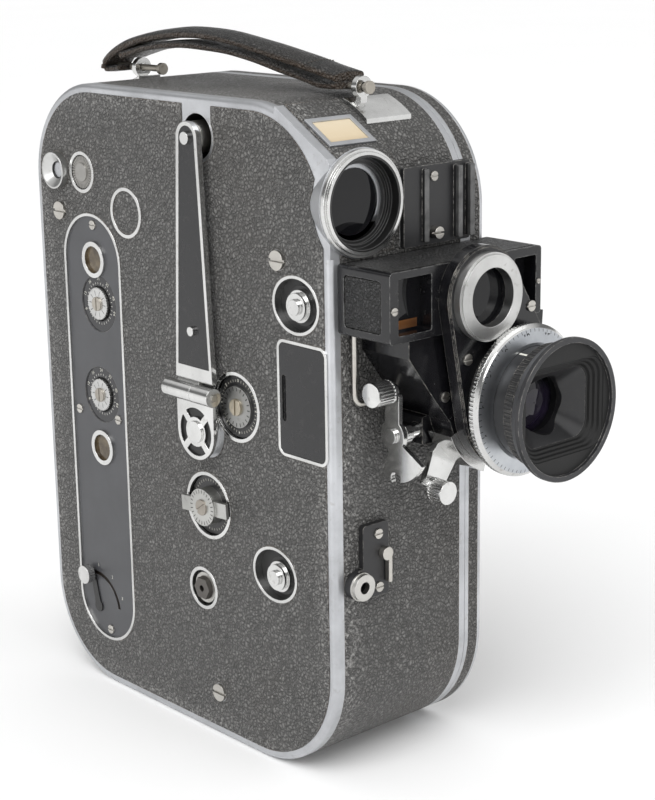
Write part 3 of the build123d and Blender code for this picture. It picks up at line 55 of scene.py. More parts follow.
# Places in millimetres, in the frame of the CAD model.
SIDE_X = -32.25                        # outside of the winding side
CASE_HALF_DEPTH = 75.5
CASE_HALF_HEIGHT = 106.0
BAND_EDGE_X = -26.0                    # where the leather round the edge starts
RUBBED_WIDTH = 10.0                    # width of the scuffed margin of the leather
BUTTON_FLANGE_X = SIDE_X + 1.1         # deeper than this the flange is painted black as shade
LEVER_ARM_X = SIDE_X - 1.2             # deeper than this the arm is painted black as shade
RELEASE_FACE_Y = -78.1                 # further forward is the bright washer
RAIL_FACE_Y = -78.2                    # further forward are the fronts of the bars
BEVEL_Y = -108.2                       # further forward is the bevel of the focus ring
COUNTER_DIAL = (-30.9, 115.9)          # Y, Z
SPEED_KNOB = (-15.2, 79.9)
CRANK_AXIS = (-14.9, 105.5)
GRIP_POCKET = (-14.9, 199.3)
MOTOR_SHAFT = (-11.2, 50.4)
FOCUS_DISC = (48.0, 182.4)
EYECUP = (62.0, 181.9)
DIAL_ONE = (42.3, 138.2)
DIAL_TWO = (43.0, 106.2)
WINDOW_ONE = (43.7, 153.2)
WINDOW_TWO = (43.3, 87.3)
PANEL_LEVER = (50.5, 27.0)
LENS_AXIS = (18.0, 123.0)              # X, Z
FINDER_AXIS = (-20.3, 183.8)
RELEASE_SOCKET = (-23.8, 66.5)


# ------------------------------------------------------------------ materials
class Surface:
    """A node material that is built up one node at a time."""

    def __init__(self, name, **settings):
        self.material = bpy.data.materials.new(name)
        self.material.use_nodes = True
        self.tree = self.material.node_tree
        self.tree.nodes.clear()
        self.shader = self.tree.nodes.new("ShaderNodeBsdfPrincipled")
        output = self.tree.nodes.new("ShaderNodeOutputMaterial")
        self.link(self.shader.outputs[0], output.inputs["Surface"])
        for socket, value in settings.items():
            self.shader.inputs[socket.replace("_", " ")].default_value = value

    def link(self, source, target):
        self.tree.links.new(source, target)

    def feed(self, node, socket, value):
        """Sets a socket to a constant or links it to another node."""
        if isinstance(value, bpy.types.NodeSocket):
            self.link(value, node.inputs[socket])
            return
        if isinstance(value, tuple) and len(value) == 3:
            value = (*value, 1.0)
        node.inputs[socket].default_value = value

    def place(self, scale=(1, 1, 1)):
        """Position in the object's own frame, stretched by the scale."""
        coords = self.tree.nodes.new("ShaderNodeTexCoord")
        mapping = self.tree.nodes.new("ShaderNodeMapping")
        mapping.inputs["Scale"].default_value = scale
        self.link(coords.outputs["Object"], mapping.inputs["Vector"])
        return mapping.outputs[0]

    def millimetres(self):
        """The object's own X, Y and Z in millimetres."""
        split = self.tree.nodes.new("ShaderNodeSeparateXYZ")
        self.link(self.place((1000, 1000, 1000)), split.inputs[0])
        return tuple(split.outputs)

    def normal_z(self):
        """Upward part of the surface direction."""
        coords = self.tree.nodes.new("ShaderNodeTexCoord")
        split = self.tree.nodes.new("ShaderNodeSeparateXYZ")
        self.link(coords.outputs["Normal"], split.inputs[0])
        return split.outputs[2]

    def noise(self, where, scale, detail=4.0, roughness=0.55, distortion=0.0):
        node = self.tree.nodes.new("ShaderNodeTexNoise")
        self.link(where, node.inputs["Vector"])
        node.inputs["Scale"].default_value = scale
        node.inputs["Detail"].default_value = detail
        node.inputs["Roughness"].default_value = roughness
        node.inputs["Distortion"].default_value = distortion
        return node.outputs["Fac"]

    def warp(self, where, scale, amount):
        """Moves the position about, so that cells lose their regular look."""
        node = self.tree.nodes.new("ShaderNodeTexNoise")
        self.link(where, node.inputs["Vector"])
        node.inputs["Scale"].default_value = scale
        add = self.tree.nodes.new("ShaderNodeVectorMath")
        add.operation = "MULTIPLY_ADD"
        self.link(node.outputs["Color"], add.inputs[0])
        add.inputs[1].default_value = (amount, amount, amount)
        self.link(where, add.inputs[2])
        return add.outputs[0]

    def cells(self, where, scale, feature="F1"):
        node = self.tree.nodes.new("ShaderNodeTexVoronoi")
        node.feature = feature
        self.link(where, node.inputs["Vector"])
        node.inputs["Scale"].default_value = scale
        return node.outputs["Distance"]

    def ramp(self, value, *stops):
        """Colour or grey ramp; stops are (place, colour or grey)."""
        node = self.tree.nodes.new("ShaderNodeValToRGB")
        self.link(value, node.inputs["Fac"])
        elements = node.color_ramp.elements
        while len(elements) < len(stops):
            elements.new(0.5)
        for element, (place, colour) in zip(elements, stops):
            element.position = place
            if isinstance(colour, (int, float)):
                colour = (colour, colour, colour)
            element.color = (*colour, 1.0)
        return node.outputs["Color"]

    def mix(self, factor, first, second):
        """Mixes two colours."""
        node = self.tree.nodes.new("ShaderNodeMix")
        node.data_type = "RGBA"
        self.feed(node, 0, factor)
        self.feed(node, 6, first)
        self.feed(node, 7, second)
        return node.outputs[2]

    def mix_value(self, factor, first, second):
        """Mixes two numbers."""
        node = self.tree.nodes.new("ShaderNodeMix")
        self.feed(node, 0, factor)
        self.feed(node, 2, first)
        self.feed(node, 3, second)
        return node.outputs[0]

    def math(self, operation, first, second=0.0, third=0.0, clamp=False):
        node = self.tree.nodes.new("ShaderNodeMath")
        node.operation = operation
        node.use_clamp = clamp
        for index, value in enumerate((first, second, third)):
            self.feed(node, index, value)
        return node.outputs[0]

    def both(self, *masks):
        """1 where every mask is 1."""
        result = masks[0]
        for mask in masks[1:]:
            result = self.math("MULTIPLY", result, mask)
        return result

    def above(self, value, limit):
        return self.math("GREATER_THAN", value, limit)

    def below(self, value, limit):
        return self.math("LESS_THAN", value, limit)

    def between(self, value, low, high):
        return self.both(self.above(value, low), self.below(value, high))

    def polar(self, first, second, centre):
        """Distance from a centre and angle about it in turns."""
        across = self.math("SUBTRACT", first, centre[0])
        up = self.math("SUBTRACT", second, centre[1])
        square = self.math("MULTIPLY_ADD", across, across, self.math("MULTIPLY", up, up))
        turns = self.math("DIVIDE", self.math("ARCTAN2", up, across), 2 * math.pi)
        return self.math("SQRT", square), turns

    def ticks(self, turns, count, share):
        """Evenly spaced radial marks, each a share of the spacing wide."""
        place = self.math("MULTIPLY", self.math("ADD", turns, 1.0), count)
        return self.below(self.math("FRACT", place), share)

    def soft_edges(self, radius):
        """Surface direction with its sharp edges rounded off."""
        bevel = self.tree.nodes.new("ShaderNodeBevel")
        bevel.samples = 5
        bevel.inputs["Radius"].default_value = radius
        return bevel.outputs[0]

    def edges(self, radius, low=0.02, high=0.25):
        """Mask of the edges, from the turn of a rounded surface direction."""
        plain = self.tree.nodes.new("ShaderNodeNewGeometry")
        dot = self.tree.nodes.new("ShaderNodeVectorMath")
        dot.operation = "DOT_PRODUCT"
        self.link(self.soft_edges(radius), dot.inputs[0])
        self.link(plain.outputs["Normal"], dot.inputs[1])
        turn = self.math("SUBTRACT", 1.0, dot.outputs["Value"])
        return self.ramp(turn, (low, 0.0), (high, 1.0))

    def bump(self, height, strength, distance, normal=None):
        node = self.tree.nodes.new("ShaderNodeBump")
        node.inputs["Strength"].default_value = strength
        node.inputs["Distance"].default_value = distance
        self.link(height, node.inputs["Height"])
        if normal is not None:
            self.link(normal, node.inputs["Normal"])
        return node.outputs[0]

    def cover(self, mask, under, over):
        """Lays one (colour, roughness, metallic) layer over another."""
        return (
            self.mix(mask, under[0], over[0]),
            self.mix_value(mask, under[1], over[1]),
            self.mix_value(mask, under[2], over[2]),
        )

    def finish(self, layer, normal=None):
        """Feeds a (colour, roughness, metallic) layer to the shader."""
        for socket, value in zip(("Base Color", "Roughness", "Metallic"), layer):
            self.feed(self.shader, socket, value)
        if normal is not None:
            self.feed(self.shader, "Normal", normal)
        return self.material


def metal_layer(s, colour, rough, wear=0.08, brushed=(900.0, 40.0, 160.0),
                stain=(0.2, 0.18, 0.15)):
    """Bare or plated metal with haze, fine scratches and small stains."""
    where = s.place()
    haze = s.noise(where, 60.0, 5.0, 0.6)
    spots = s.ramp(s.noise(where, 420.0, 3.0, 0.6), (0.62, 0.0), (0.74, 1.0))
    lines = s.noise(s.place(brushed), 1.0, 3.0, 0.7)
    darker = tuple(0.74 * c for c in colour)
    base = s.mix(s.ramp(haze, (0.32, 0.0), (0.70, 1.0)), colour, darker)
    base = s.mix(s.math("MULTIPLY", spots, 0.35), base, stain)
    roughness = s.math("MULTIPLY_ADD", haze, wear * 1.6, rough - 0.02)
    roughness = s.math("MULTIPLY_ADD", spots, 0.12, roughness)
    roughness = s.math("MULTIPLY_ADD", lines, wear * 0.6, roughness)
    return base, roughness, 1.0


def enamel_layer(s, colour, rough, bare=(0.5, 0.48, 0.44), wear=0.55):
    """Painted metal, dusty and rubbed through to the metal along its edges."""
    where = s.place()
    patch = s.noise(where, 70.0, 4.0, 0.6)
    dust = s.ramp(s.noise(where, 330.0, 4.0, 0.7), (0.55, 0.0), (0.8, 1.0))
    broken = s.ramp(s.noise(where, 480.0, 4.0, 0.7), (0.42, 0.0), (0.58, 1.0))
    worn = s.both(s.edges(0.0005, 0.04, 0.30), broken)
    worn = s.math("MULTIPLY", worn, wear)
    lighter = tuple(c * 1.6 + 0.003 for c in colour)
    base = s.mix(s.ramp(patch, (0.3, 0.0), (0.8, 0.7)), colour, lighter)
    base = s.mix(s.math("MULTIPLY", dust, 0.06), base, (0.25, 0.24, 0.22))
    base = s.mix(worn, base, bare)
    roughness = s.math("MULTIPLY_ADD", patch, 0.18, rough - 0.06)
    roughness = s.math("MULTIPLY_ADD", dust, 0.15, roughness)
    return base, roughness, worn


def hard_normal(s, grain=900.0, strength=0.15):
    """Rounded edges and a faint orange peel."""
    return s.bump(s.noise(s.place(), grain, 2.0), strength, 0.00003, s.soft_edges(0.00028))


def metal(name, *settings, **more):
    s = Surface(name)
    return s.finish(metal_layer(s, *settings, **more), hard_normal(s))


def enamel(name, *settings, **more):
    s = Surface(name, Specular_IOR_Level=0.5)
    return s.finish(enamel_layer(s, *settings, **more), hard_normal(s))


HOLLOW_SHADE = (0.006, 0.006, 0.006)            # black painted in as the shade of hollows and sunken parts
CHROME_LOOK = ((0.72, 0.72, 0.71), 0.09, 0.08)
SATIN_LOOK = ((0.58, 0.59, 0.61), 0.24, 0.20, (130.0, 70.0, 1400.0), (0.36, 0.34, 0.32))


def scuffed_margin(s):
    """Mask of the margin of the case leather: its outline, and where it goes round the edge."""
    x, y, z = s.millimetres()
    across = s.math("SUBTRACT", s.math("ABSOLUTE", y), CASE_HALF_DEPTH - RUBBED_WIDTH)
    middle = s.math("ABSOLUTE", s.math("SUBTRACT", z, CASE_HALF_HEIGHT))
    upright = s.math("SUBTRACT", middle, CASE_HALF_HEIGHT - RUBBED_WIDTH)
    outline = s.math("DIVIDE", s.math("MAXIMUM", across, upright), RUBBED_WIDTH)
    on_side = s.both(s.below(x, SIDE_X + 1.0), s.ramp(outline, (0.0, 0.0), (0.85, 0.8)))
    past_band = s.math("DIVIDE", s.math("SUBTRACT", x, BAND_EDGE_X), RUBBED_WIDTH)
    on_wrap = s.both(s.above(x, SIDE_X + 1.0), s.ramp(past_band, (0.1, 0.7), (0.7, 0.0)))
    return s.math("MAXIMUM", on_side, on_wrap)


def pebble_leather(name, low, high, brown, grain=760.0, gloss=0.0,
                   border=False, strap=False):
    """Pebble-grained leathercloth with painted shade in its creases and painted highlights on its
    pebble crowns and in pale specks, brown at its edges; on the strap its underside is painted
    darker as shade.
    """
    s = Surface(name, Specular_IOR_Level=0.50)
    where = s.place()
    warped = s.warp(where, 650.0, 0.0012)
    crease = s.cells(warped, grain, "DISTANCE_TO_EDGE")
    dome = s.ramp(crease, (0.0, 0.0), (0.16, 0.55), (0.5, 1.0))
    wrinkle = s.noise(warped, grain * 0.8, 4.0, 0.6)
    fine = s.noise(where, 2600.0, 3.0)
    patch = s.noise(where, 34.0, 5.0, 0.6)
    broad = s.noise(where, 11.0, 3.0)
    glint_fleck = s.ramp(s.noise(where, 900.0, 3.0, 0.6), (0.60, 0.0), (0.68, 1.0))
    # Pebble crowns painted lighter as highlight, creases painted darker as shade.
    lit_tops = s.math("MULTIPLY", dome, s.ramp(wrinkle, (0.36, 0.15), (0.62, 1.0)))
    colour = s.mix(lit_tops, low, high)
    faded = s.math("MULTIPLY", s.ramp(broad, (0.52, 0.0), (0.75, 1.0)), 0.22)
    colour = s.mix(faded, colour, brown)
    # Pale specks painted on the grain as glints of light; the same pale grey also marks the real
    # scuffs on the case border.
    pale = tuple(2.0 * c for c in high)
    glint_flecks = s.math("MULTIPLY", glint_fleck, s.ramp(patch, (0.42, 0.03), (0.72, 0.40)))
    colour = s.mix(glint_flecks, colour, pale)
    rubbed = s.both(s.edges(0.0009, 0.03, 0.25), s.ramp(patch, (0.42, 0.0), (0.60, 0.75)))
    colour = s.mix(rubbed, colour, tuple(2.2 * c for c in brown))
    if border:
        scuff = s.ramp(s.noise(where, 1000.0, 3.0, 0.6), (0.52, 0.0), (0.62, 0.8))
        colour = s.mix(s.both(scuffed_margin(s), scuff), colour, pale)
    if strap:
        x, _, _ = s.millimetres()
        side = s.ramp(s.math("DIVIDE", s.math("ABSOLUTE", x), 10.0), (0.56, 0.0), (0.64, 0.8))
        colour = s.mix(s.both(side, s.ramp(fine, (0.35, 0.2), (0.65, 1.0))), colour, brown)
        # Underside of the strap painted darker as shade, by how far the surface faces down.
        under = s.ramp(s.normal_z(), (0.02, 1.0), (0.35, 0.0))
        colour = s.mix(s.math("MULTIPLY", under, 0.7), colour, tuple(0.6 * c for c in brown))
    rough = s.ramp(s.math("MULTIPLY_ADD", dome, -0.16, patch),
                   (0.2, 0.36 - gloss), (0.8, 0.58 - gloss))
    height = s.math("MULTIPLY_ADD", dome, 0.62, s.math("MULTIPLY", wrinkle, 0.55))
    height = s.math("MULTIPLY_ADD", fine, 0.12, height)
    normal = s.bump(height, 1.0, 0.0013, s.soft_edges(0.0003))
    return s.finish((colour, rough, 0.0), normal)


def body_metal():
    """Satin aluminium, painted black as shade inside every recess of the winding side."""
    s = Surface("satin_aluminium")
    metal_side = metal_layer(s, *SATIN_LOOK)
    x, y, z = s.millimetres()
    recess = s.between(x, SIDE_X + 0.65, SIDE_X + 4.0)
    front = s.both(recess, s.between(y, -72.5, 0.0), s.between(z, 45.0, 168.0))
    back = s.both(recess, s.between(y, -56.0, 56.0), s.between(z, 12.0, 204.0))
    radius, _ = s.polar(y, z, GRIP_POCKET)
    pocket = s.both(s.between(x, SIDE_X + 0.3, -10.0), s.below(radius, 7.3))
    # Recess floors and the grip pocket painted black as shade.
    dark = s.math("MAXIMUM", s.math("MAXIMUM", front, back), pocket)
    return s.finish(s.cover(dark, metal_side, (HOLLOW_SHADE, 0.45, 0.0)), hard_normal(s, 1500.0, 0.3))


def crank_hub_metal():
    """Chrome with the floors of the hub's cut-outs painted black as shade."""
    s = Surface("hub_chrome")
    x, y, z = s.millimetres()
    radius, _ = s.polar(y, z, CRANK_AXIS)
    floor = s.both(s.between(x, -36.2, -35.0), s.between(radius, 4.85, 7.95))
    return s.finish(s.cover(floor, metal_layer(s, *CHROME_LOOK), (HOLLOW_SHADE, 0.4, 0.0)), hard_normal(s))


def side_dial(name, centre, disc_radius, screw_radius, ring_face, disc_look, screw_look,
              tick_count=24):
    """Dial on the winding side: black ring, ticked disc and a slotted screw in the middle."""
    s = Surface(name)
    x, y, z = s.millimetres()
    radius, turns = s.polar(y, z, centre)
    disc = metal_layer(s, disc_look, 0.30, 0.10)
    rim = s.between(radius, disc_radius - 1.6, disc_radius - 0.4)
    marks = s.both(s.ticks(turns, tick_count, 0.22), rim)
    disc = s.cover(marks, disc, ((0.03, 0.03, 0.03), 0.5, 0.2))
    screw = metal_layer(s, screw_look, 0.26, 0.12)
    layer = s.cover(s.below(radius, screw_radius), disc, screw)
    ring = s.mix(s.noise(s.place(), 120.0), (0.006, 0.006, 0.007), (0.018, 0.018, 0.018))
    black = (ring, 0.28, 0.0)
    pale = s.both(s.ticks(turns, 40, 0.12), s.between(radius, 7.9, 8.7))
    black = s.cover(pale, black, ((0.50, 0.48, 0.42), 0.5, 0.0))
    layer = s.cover(s.above(x, ring_face), layer, black)
    return s.finish(layer, hard_normal(s))


def small_dial(name, centre):
    """Silver setting wheel with a darker slotted screw."""
    s = Surface(name)
    _, y, z = s.millimetres()
    radius, turns = s.polar(y, z, centre)
    disc = metal_layer(s, (0.62, 0.62, 0.61), 0.24, 0.10)
    marks = s.both(s.ticks(turns, 10, 0.10), s.between(radius, 2.9, 4.6))
    disc = s.cover(marks, disc, ((0.05, 0.05, 0.05), 0.5, 0.2))
    screw = metal_layer(s, (0.46, 0.43, 0.38), 0.32, 0.12)
    return s.finish(s.cover(s.below(radius, 2.45), disc, screw), hard_normal(s))


def button_metal():
    """Chrome button on a flange painted black as shade."""
    s = Surface("button_chrome")
    x, _, _ = s.millimetres()
    flange = s.above(x, BUTTON_FLANGE_X)
    return s.finish(s.cover(flange, metal_layer(s, *CHROME_LOOK), (HOLLOW_SHADE, 0.35, 0.0)), hard_normal(s))


def eyecup_metal():
    """Bright dished ring with its peephole painted black as shade."""
    s = Surface("eyecup_metal")
    _, y, z = s.millimetres()
    radius, _ = s.polar(y, z, EYECUP)
    ring = metal_layer(s, (0.62, 0.62, 0.61), 0.22, 0.10)
    return s.finish(s.cover(s.below(radius, 2.9), ring, (HOLLOW_SHADE, 0.5, 0.0)), hard_normal(s))


def release_enamel():
    """Black release plate with a bright cable socket."""
    s = Surface("release_enamel", Specular_IOR_Level=0.5)
    x, y, z = s.millimetres()
    radius, _ = s.polar(x, z, RELEASE_SOCKET)
    layer = enamel_layer(s, (0.011, 0.011, 0.012), 0.38, (0.45, 0.43, 0.39), 0.6)
    hole_radius = 1.85
    washer = s.both(s.below(y, RELEASE_FACE_Y), s.between(radius, hole_radius, 4.7))
    # The socket's hole is painted black as shade.
    hole = s.below(radius, hole_radius)
    layer = s.cover(washer, layer, metal_layer(s, (0.62, 0.61, 0.58), 0.22, 0.12))
    return s.finish(s.cover(hole, layer, (HOLLOW_SHADE, 0.5, 0.0)), hard_normal(s))


def panel_lever_metal():
    """Chrome button on an arm painted black as shade."""
    s = Surface("panel_lever_metal")
    x, _, _ = s.millimetres()
    arm = s.above(x, LEVER_ARM_X)
    return s.finish(s.cover(arm, metal_layer(s, *CHROME_LOOK), (HOLLOW_SHADE, 0.3, 0.0)), hard_normal(s))


def panel_enamel():
    """Blackened panel with glossier rings and pale ticks round the two dials."""
    s = Surface("panel_enamel", Specular_IOR_Level=0.5)
    x, y, z = s.millimetres()
    layer = enamel_layer(s, (0.045, 0.046, 0.050), 0.34, (0.42, 0.40, 0.36), 0.4)
    for centre in (DIAL_ONE, DIAL_TWO):
        radius, turns = s.polar(y, z, centre)
        layer = s.cover(s.below(radius, 9.7), layer, ((0.022, 0.022, 0.024), 0.20, 0.0))
        marks = s.both(s.ticks(turns, 30, 0.14), s.between(radius, 6.6, 7.3))
        layer = s.cover(marks, layer, ((0.55, 0.54, 0.50), 0.5, 0.0))
    slot = s.both(s.above(x, SIDE_X + 0.5), s.below(z, 60.0))
    layer = s.cover(slot, layer, ((0.018, 0.013, 0.010), 0.5, 0.0))
    return s.finish(layer, hard_normal(s))


def window_ring():
    """Chrome ring round a small viewing window with a khaki glass."""
    s = Surface("window_ring")
    x, y, z = s.millimetres()
    mottle = s.noise(s.place(), 260.0, 3.0)
    glass_colour = s.ramp(mottle, (0.35, (0.045, 0.032, 0.018)), (0.75, (0.13, 0.10, 0.06)))
    first, _ = s.polar(y, z, WINDOW_ONE)
    second, _ = s.polar(y, z, WINDOW_TWO)
    glass_radius = 4.65
    inside = s.below(s.math("MINIMUM", first, second), glass_radius)
    inside = s.both(inside, s.above(x, SIDE_X - 0.3))
    layer = s.cover(inside, metal_layer(s, *CHROME_LOOK), (glass_colour, 0.12, 0.0))
    return s.finish(layer, hard_normal(s))


def finder_ring_metal():
    """Polished lip with a black stepped bore."""
    s = Surface("finder_ring_metal")
    x, _, z = s.millimetres()
    radius, _ = s.polar(x, z, FINDER_AXIS)
    bore = s.below(radius, 14.15)
    step = s.edges(0.0005, 0.03, 0.2)
    black = (s.mix(step, (0.006, 0.006, 0.006), (0.10, 0.10, 0.10)), 0.32, 0.0)
    return s.finish(s.cover(bore, metal_layer(s, *CHROME_LOOK), black), hard_normal(s))


def front_glass():
    """Dark window glass with a warm streak low down."""
    s = Surface("front_glass", Specular_IOR_Level=0.30)
    x, _, z = s.millimetres()
    glow = s.noise(s.place((30.0, 30.0, 90.0)), 1.0, 2.0)
    place = s.both(s.between(z, 148.8, 151.4), s.between(x, -25.0, -14.0))
    streak = s.both(place, s.ramp(glow, (0.3, 0.2), (0.6, 1.0)))
    colour = s.mix(streak, (0.006, 0.006, 0.007), (0.30, 0.12, 0.035))
    dust = s.ramp(s.noise(s.place(), 700.0, 3.0), (0.6, 0.02), (0.8, 0.14))
    return s.finish((colour, dust, 0.0))


def lens_glass():
    """Dark coated glass with a faint violet and amber cast."""
    s = Surface("lens_glass", Specular_IOR_Level=0.45)
    cast = s.ramp(s.noise(s.place(), 55.0, 2.0, 0.5, 0.6),
                  (0.45, (0.005, 0.005, 0.006)),
                  (0.66, (0.014, 0.010, 0.022)),
                  (0.82, (0.028, 0.017, 0.010)))
    dust = s.ramp(s.noise(s.place(), 700.0, 3.0), (0.6, 0.02), (0.8, 0.10))
    return s.finish((cast, dust, 0.0))


def frosted_glass():
    """Warm milky glass, browner towards its lower edge."""
    s = Surface("frosted_glass", Specular_IOR_Level=0.4)
    _, _, z = s.millimetres()
    fall = s.math("DIVIDE", s.math("SUBTRACT", z, 198.0), 13.0, clamp=True)
    colour = s.ramp(fall,
                    (0.0, (0.36, 0.25, 0.13)),
                    (0.35, (0.58, 0.48, 0.33)),
                    (1.0, (0.68, 0.60, 0.46)))
    mottle = s.ramp(s.noise(s.place(), 300.0, 3.0), (0.3, 0.35), (0.7, 0.60))
    return s.finish((colour, mottle, 0.0), hard_normal(s, 1800.0, 0.4))


def focus_ring_metal():
    """Silver knurl with a blue-grey bevel that carries fine ticks."""
    s = Surface("focus_ring_metal")
    x, y, z = s.millimetres()
    radius, turns = s.polar(x, z, LENS_AXIS)
    layer = metal_layer(s, *CHROME_LOOK)
    on_bevel = s.below(y, BEVEL_Y)
    haze = s.noise(s.place(), 160.0)
    blue = s.ramp(haze, (0.3, (0.42, 0.44, 0.47)), (0.7, (0.54, 0.56, 0.58)))
    layer = s.cover(s.both(on_bevel, s.below(radius, 22.2)), layer, (blue, 0.30, 1.0))
    marks = s.both(s.ticks(turns, 72, 0.12), s.between(radius, 21.2, 22.1), on_bevel)
    layer = s.cover(marks, layer, ((0.02, 0.02, 0.02), 0.5, 0.0))
    return s.finish(layer, hard_normal(s))


def barrel_enamel():
    """Black lens barrel with a pale index line."""
    s = Surface("barrel_enamel", Specular_IOR_Level=0.5)
    x, y, z = s.millimetres()
    radius, turns = s.polar(x, z, LENS_AXIS)
    layer = enamel_layer(s, (0.012, 0.012, 0.013), 0.30, (0.55, 0.53, 0.49), 0.7)
    stripe = s.both(s.between(turns, 0.305, 0.3125), s.between(y, -114.0, -109.6))
    index = s.both(stripe, s.above(radius, 16.5))
    return s.finish(s.cover(index, layer, ((0.7, 0.69, 0.62), 0.5, 0.0)), hard_normal(s))


def hood_enamel():
    """Dark satin hood, black and ribbed inside its rectangular funnel."""
    s = Surface("hood_enamel", Specular_IOR_Level=0.4)
    x, y, z = s.millimetres()
    radius, _ = s.polar(x, z, LENS_AXIS)
    layer = enamel_layer(s, (0.020, 0.020, 0.022), 0.36, (0.55, 0.53, 0.49), 0.55)
    inside = s.both(s.below(radius, 20.05), s.above(y, -123.5))
    layer = s.cover(inside, layer, ((0.006, 0.006, 0.006), 0.62, 0.0))
    ribs = s.math("PINGPONG", y, 0.55)
    relief = s.math("MULTIPLY", ribs, s.below(radius, 20.0))
    return s.finish(layer, s.bump(relief, 1.0, 0.0006, s.soft_edges(0.0003)))


def rail_enamel():
    """Black rail plate with greyer bar fronts."""
    s = Surface("rail_enamel", Specular_IOR_Level=0.5)
    _, y, _ = s.millimetres()
    layer = enamel_layer(s, (0.010, 0.010, 0.011), 0.34, (0.6, 0.58, 0.54), 0.9)
    rubbing = s.noise(s.place(), 240.0)
    grey = s.ramp(rubbing, (0.3, (0.07, 0.07, 0.07)), (0.7, (0.16, 0.16, 0.16)))
    layer = s.cover(s.below(y, RAIL_FACE_Y), layer, (grey, 0.38, 0.5))
    return s.finish(layer, hard_normal(s))


def shaft_metal():
    """Silver disc round a dark steel end."""
    s = Surface("shaft_metal")
    _, y, z = s.millimetres()
    radius, _ = s.polar(y, z, MOTOR_SHAFT)
    disc = metal_layer(s, (0.62, 0.61, 0.58), 0.28, 0.12)
    end = metal_layer(s, (0.17, 0.16, 0.15), 0.34, 0.12)
    return s.finish(s.cover(s.below(radius, 4.0), disc, end), hard_normal(s))


BLACK_LEATHER = pebble_leather(
    "black_leather",
    (0.052, 0.051, 0.049),
    (0.222, 0.218, 0.210),
    (0.085, 0.065, 0.048),
    border=True,
)
DOOR_LEATHER = pebble_leather(
    "door_leather",
    (0.050, 0.049, 0.047),
    (0.212, 0.207, 0.199),
    (0.080, 0.061, 0.045),
)
HOUSING_LEATHER = pebble_leather(
    "housing_leather",
    (0.004, 0.004, 0.004),
    (0.050, 0.050, 0.051),
    (0.026, 0.022, 0.018),
    grain=900.0,
    gloss=0.08,
)
STRAP = pebble_leather(
    "strap_leather",
    (0.008, 0.008, 0.008),
    (0.075, 0.073, 0.070),
    (0.110, 0.074, 0.048),
    grain=800.0,
    gloss=0.10,
    strap=True,
)
ALUMINIUM = body_metal()
INNER_METAL = metal("inner_metal", (0.52, 0.52, 0.50), 0.38, 0.1)
PLAIN_ALUMINIUM = metal("door_aluminium", *SATIN_LOOK)
CHROME = metal("bright_chrome", *CHROME_LOOK)
SATIN_CHROME = metal("satin_chrome", (0.62, 0.62, 0.61), 0.22, 0.10)
NICKEL = metal("nickel", (0.58, 0.56, 0.52), 0.20, 0.12)
KNOB_METAL = side_dial(
    "knob_metal", SPEED_KNOB, 6.3, 2.65, SIDE_X + 0.85,
    (0.50, 0.50, 0.48), (0.36, 0.33, 0.29),
)
DIAL_METAL = side_dial(
    "dial_metal", COUNTER_DIAL, 6.8, 2.75, SIDE_X + 0.65,
    (0.36, 0.36, 0.35), (0.48, 0.43, 0.34), tick_count=20,
)
DISC_METAL = side_dial(
    "disc_metal", FOCUS_DISC, 5.6, 3.1, SIDE_X + 1.2,
    (0.34, 0.33, 0.31), (0.42, 0.41, 0.39), tick_count=34,
)
DULL_NICKEL = metal("dull_nickel", (0.46, 0.43, 0.38), 0.34, 0.16, stain=(0.16, 0.12, 0.08))
BRASS = metal("old_brass", (0.58, 0.44, 0.23), 0.26, 0.12, stain=(0.16, 0.10, 0.05))
BLACK = enamel("black_enamel", (0.004, 0.004, 0.005), 0.15, (0.55, 0.52, 0.47), 0.75)
INLAY = enamel("inlay_enamel", (0.006, 0.006, 0.007), 0.22, (0.4, 0.38, 0.34), 0.2)
SATIN_BLACK = enamel("satin_black", (0.011, 0.011, 0.012), 0.38, (0.45, 0.43, 0.39), 0.6)
HOUSING = enamel("housing_enamel", (0.004, 0.004, 0.005), 0.20, (0.34, 0.34, 0.33), 0.9)

LOOKS = {
    BLACK_LEATHER: ("body_leather",),
    DOOR_LEATHER: ("door_leather",),
    HOUSING_LEATHER: ("rangefinder_leather",),
    ALUMINIUM: ("body_shell",),
    PLAIN_ALUMINIUM: ("door_shell", "window_frame"),
    INNER_METAL: ("partition_plate", "spring_barrel", "spool_spindles", "pressure_plate"),
    CHROME: ("crank_arm", "side_bezels", "handle_eyes", "index_lever", "focus_lever"),
    panel_lever_metal(): ("panel_lever",),
    SATIN_CHROME: ("tele_ring",),
    eyecup_metal(): ("side_eyecup",),
    release_enamel(): ("release_plate",),
    crank_hub_metal(): ("crank_hub",),
    finder_ring_metal(): ("finder_ring",),
    focus_ring_metal(): ("focus_ring",),
    window_ring(): ("panel_windows",),
    button_metal(): ("upper_button", "lower_button"),
    NICKEL: ("screws", "wire_link", "door_lock", "release_lever", "sprocket", "crank_grip",
             "hinge_pin"),
    small_dial("upper_dial_metal", DIAL_ONE): ("upper_dial",),
    small_dial("lower_dial_metal", DIAL_TWO): ("lower_dial",),
    KNOB_METAL: ("speed_knob",),
    DIAL_METAL: ("counter_dial",),
    DULL_NICKEL: ("handle_loops",),
    DISC_METAL: ("focus_disc",),
    shaft_metal(): ("motor_shaft",),
    BRASS: ("train_gear",),
    BLACK: ("mount_base", "mount_plate"),
    INLAY: ("arm_inlay", "cover_plate"),
    barrel_enamel(): ("lens_barrel",),
    hood_enamel(): ("lens_hood",),
    rail_enamel(): ("rail_plate",),
    SATIN_BLACK: ("aperture_ring", "film_gate", "shutter",
                  "feed_spool", "takeup_spool", "finder_eyepiece"),
    HOUSING: ("rangefinder_housing",),
    panel_enamel(): ("panel_plate",),
    front_glass(): ("front_glasses", "finder_lens"),
    lens_glass(): ("taking_lens",),
    frosted_glass(): ("frosted_window",),
}
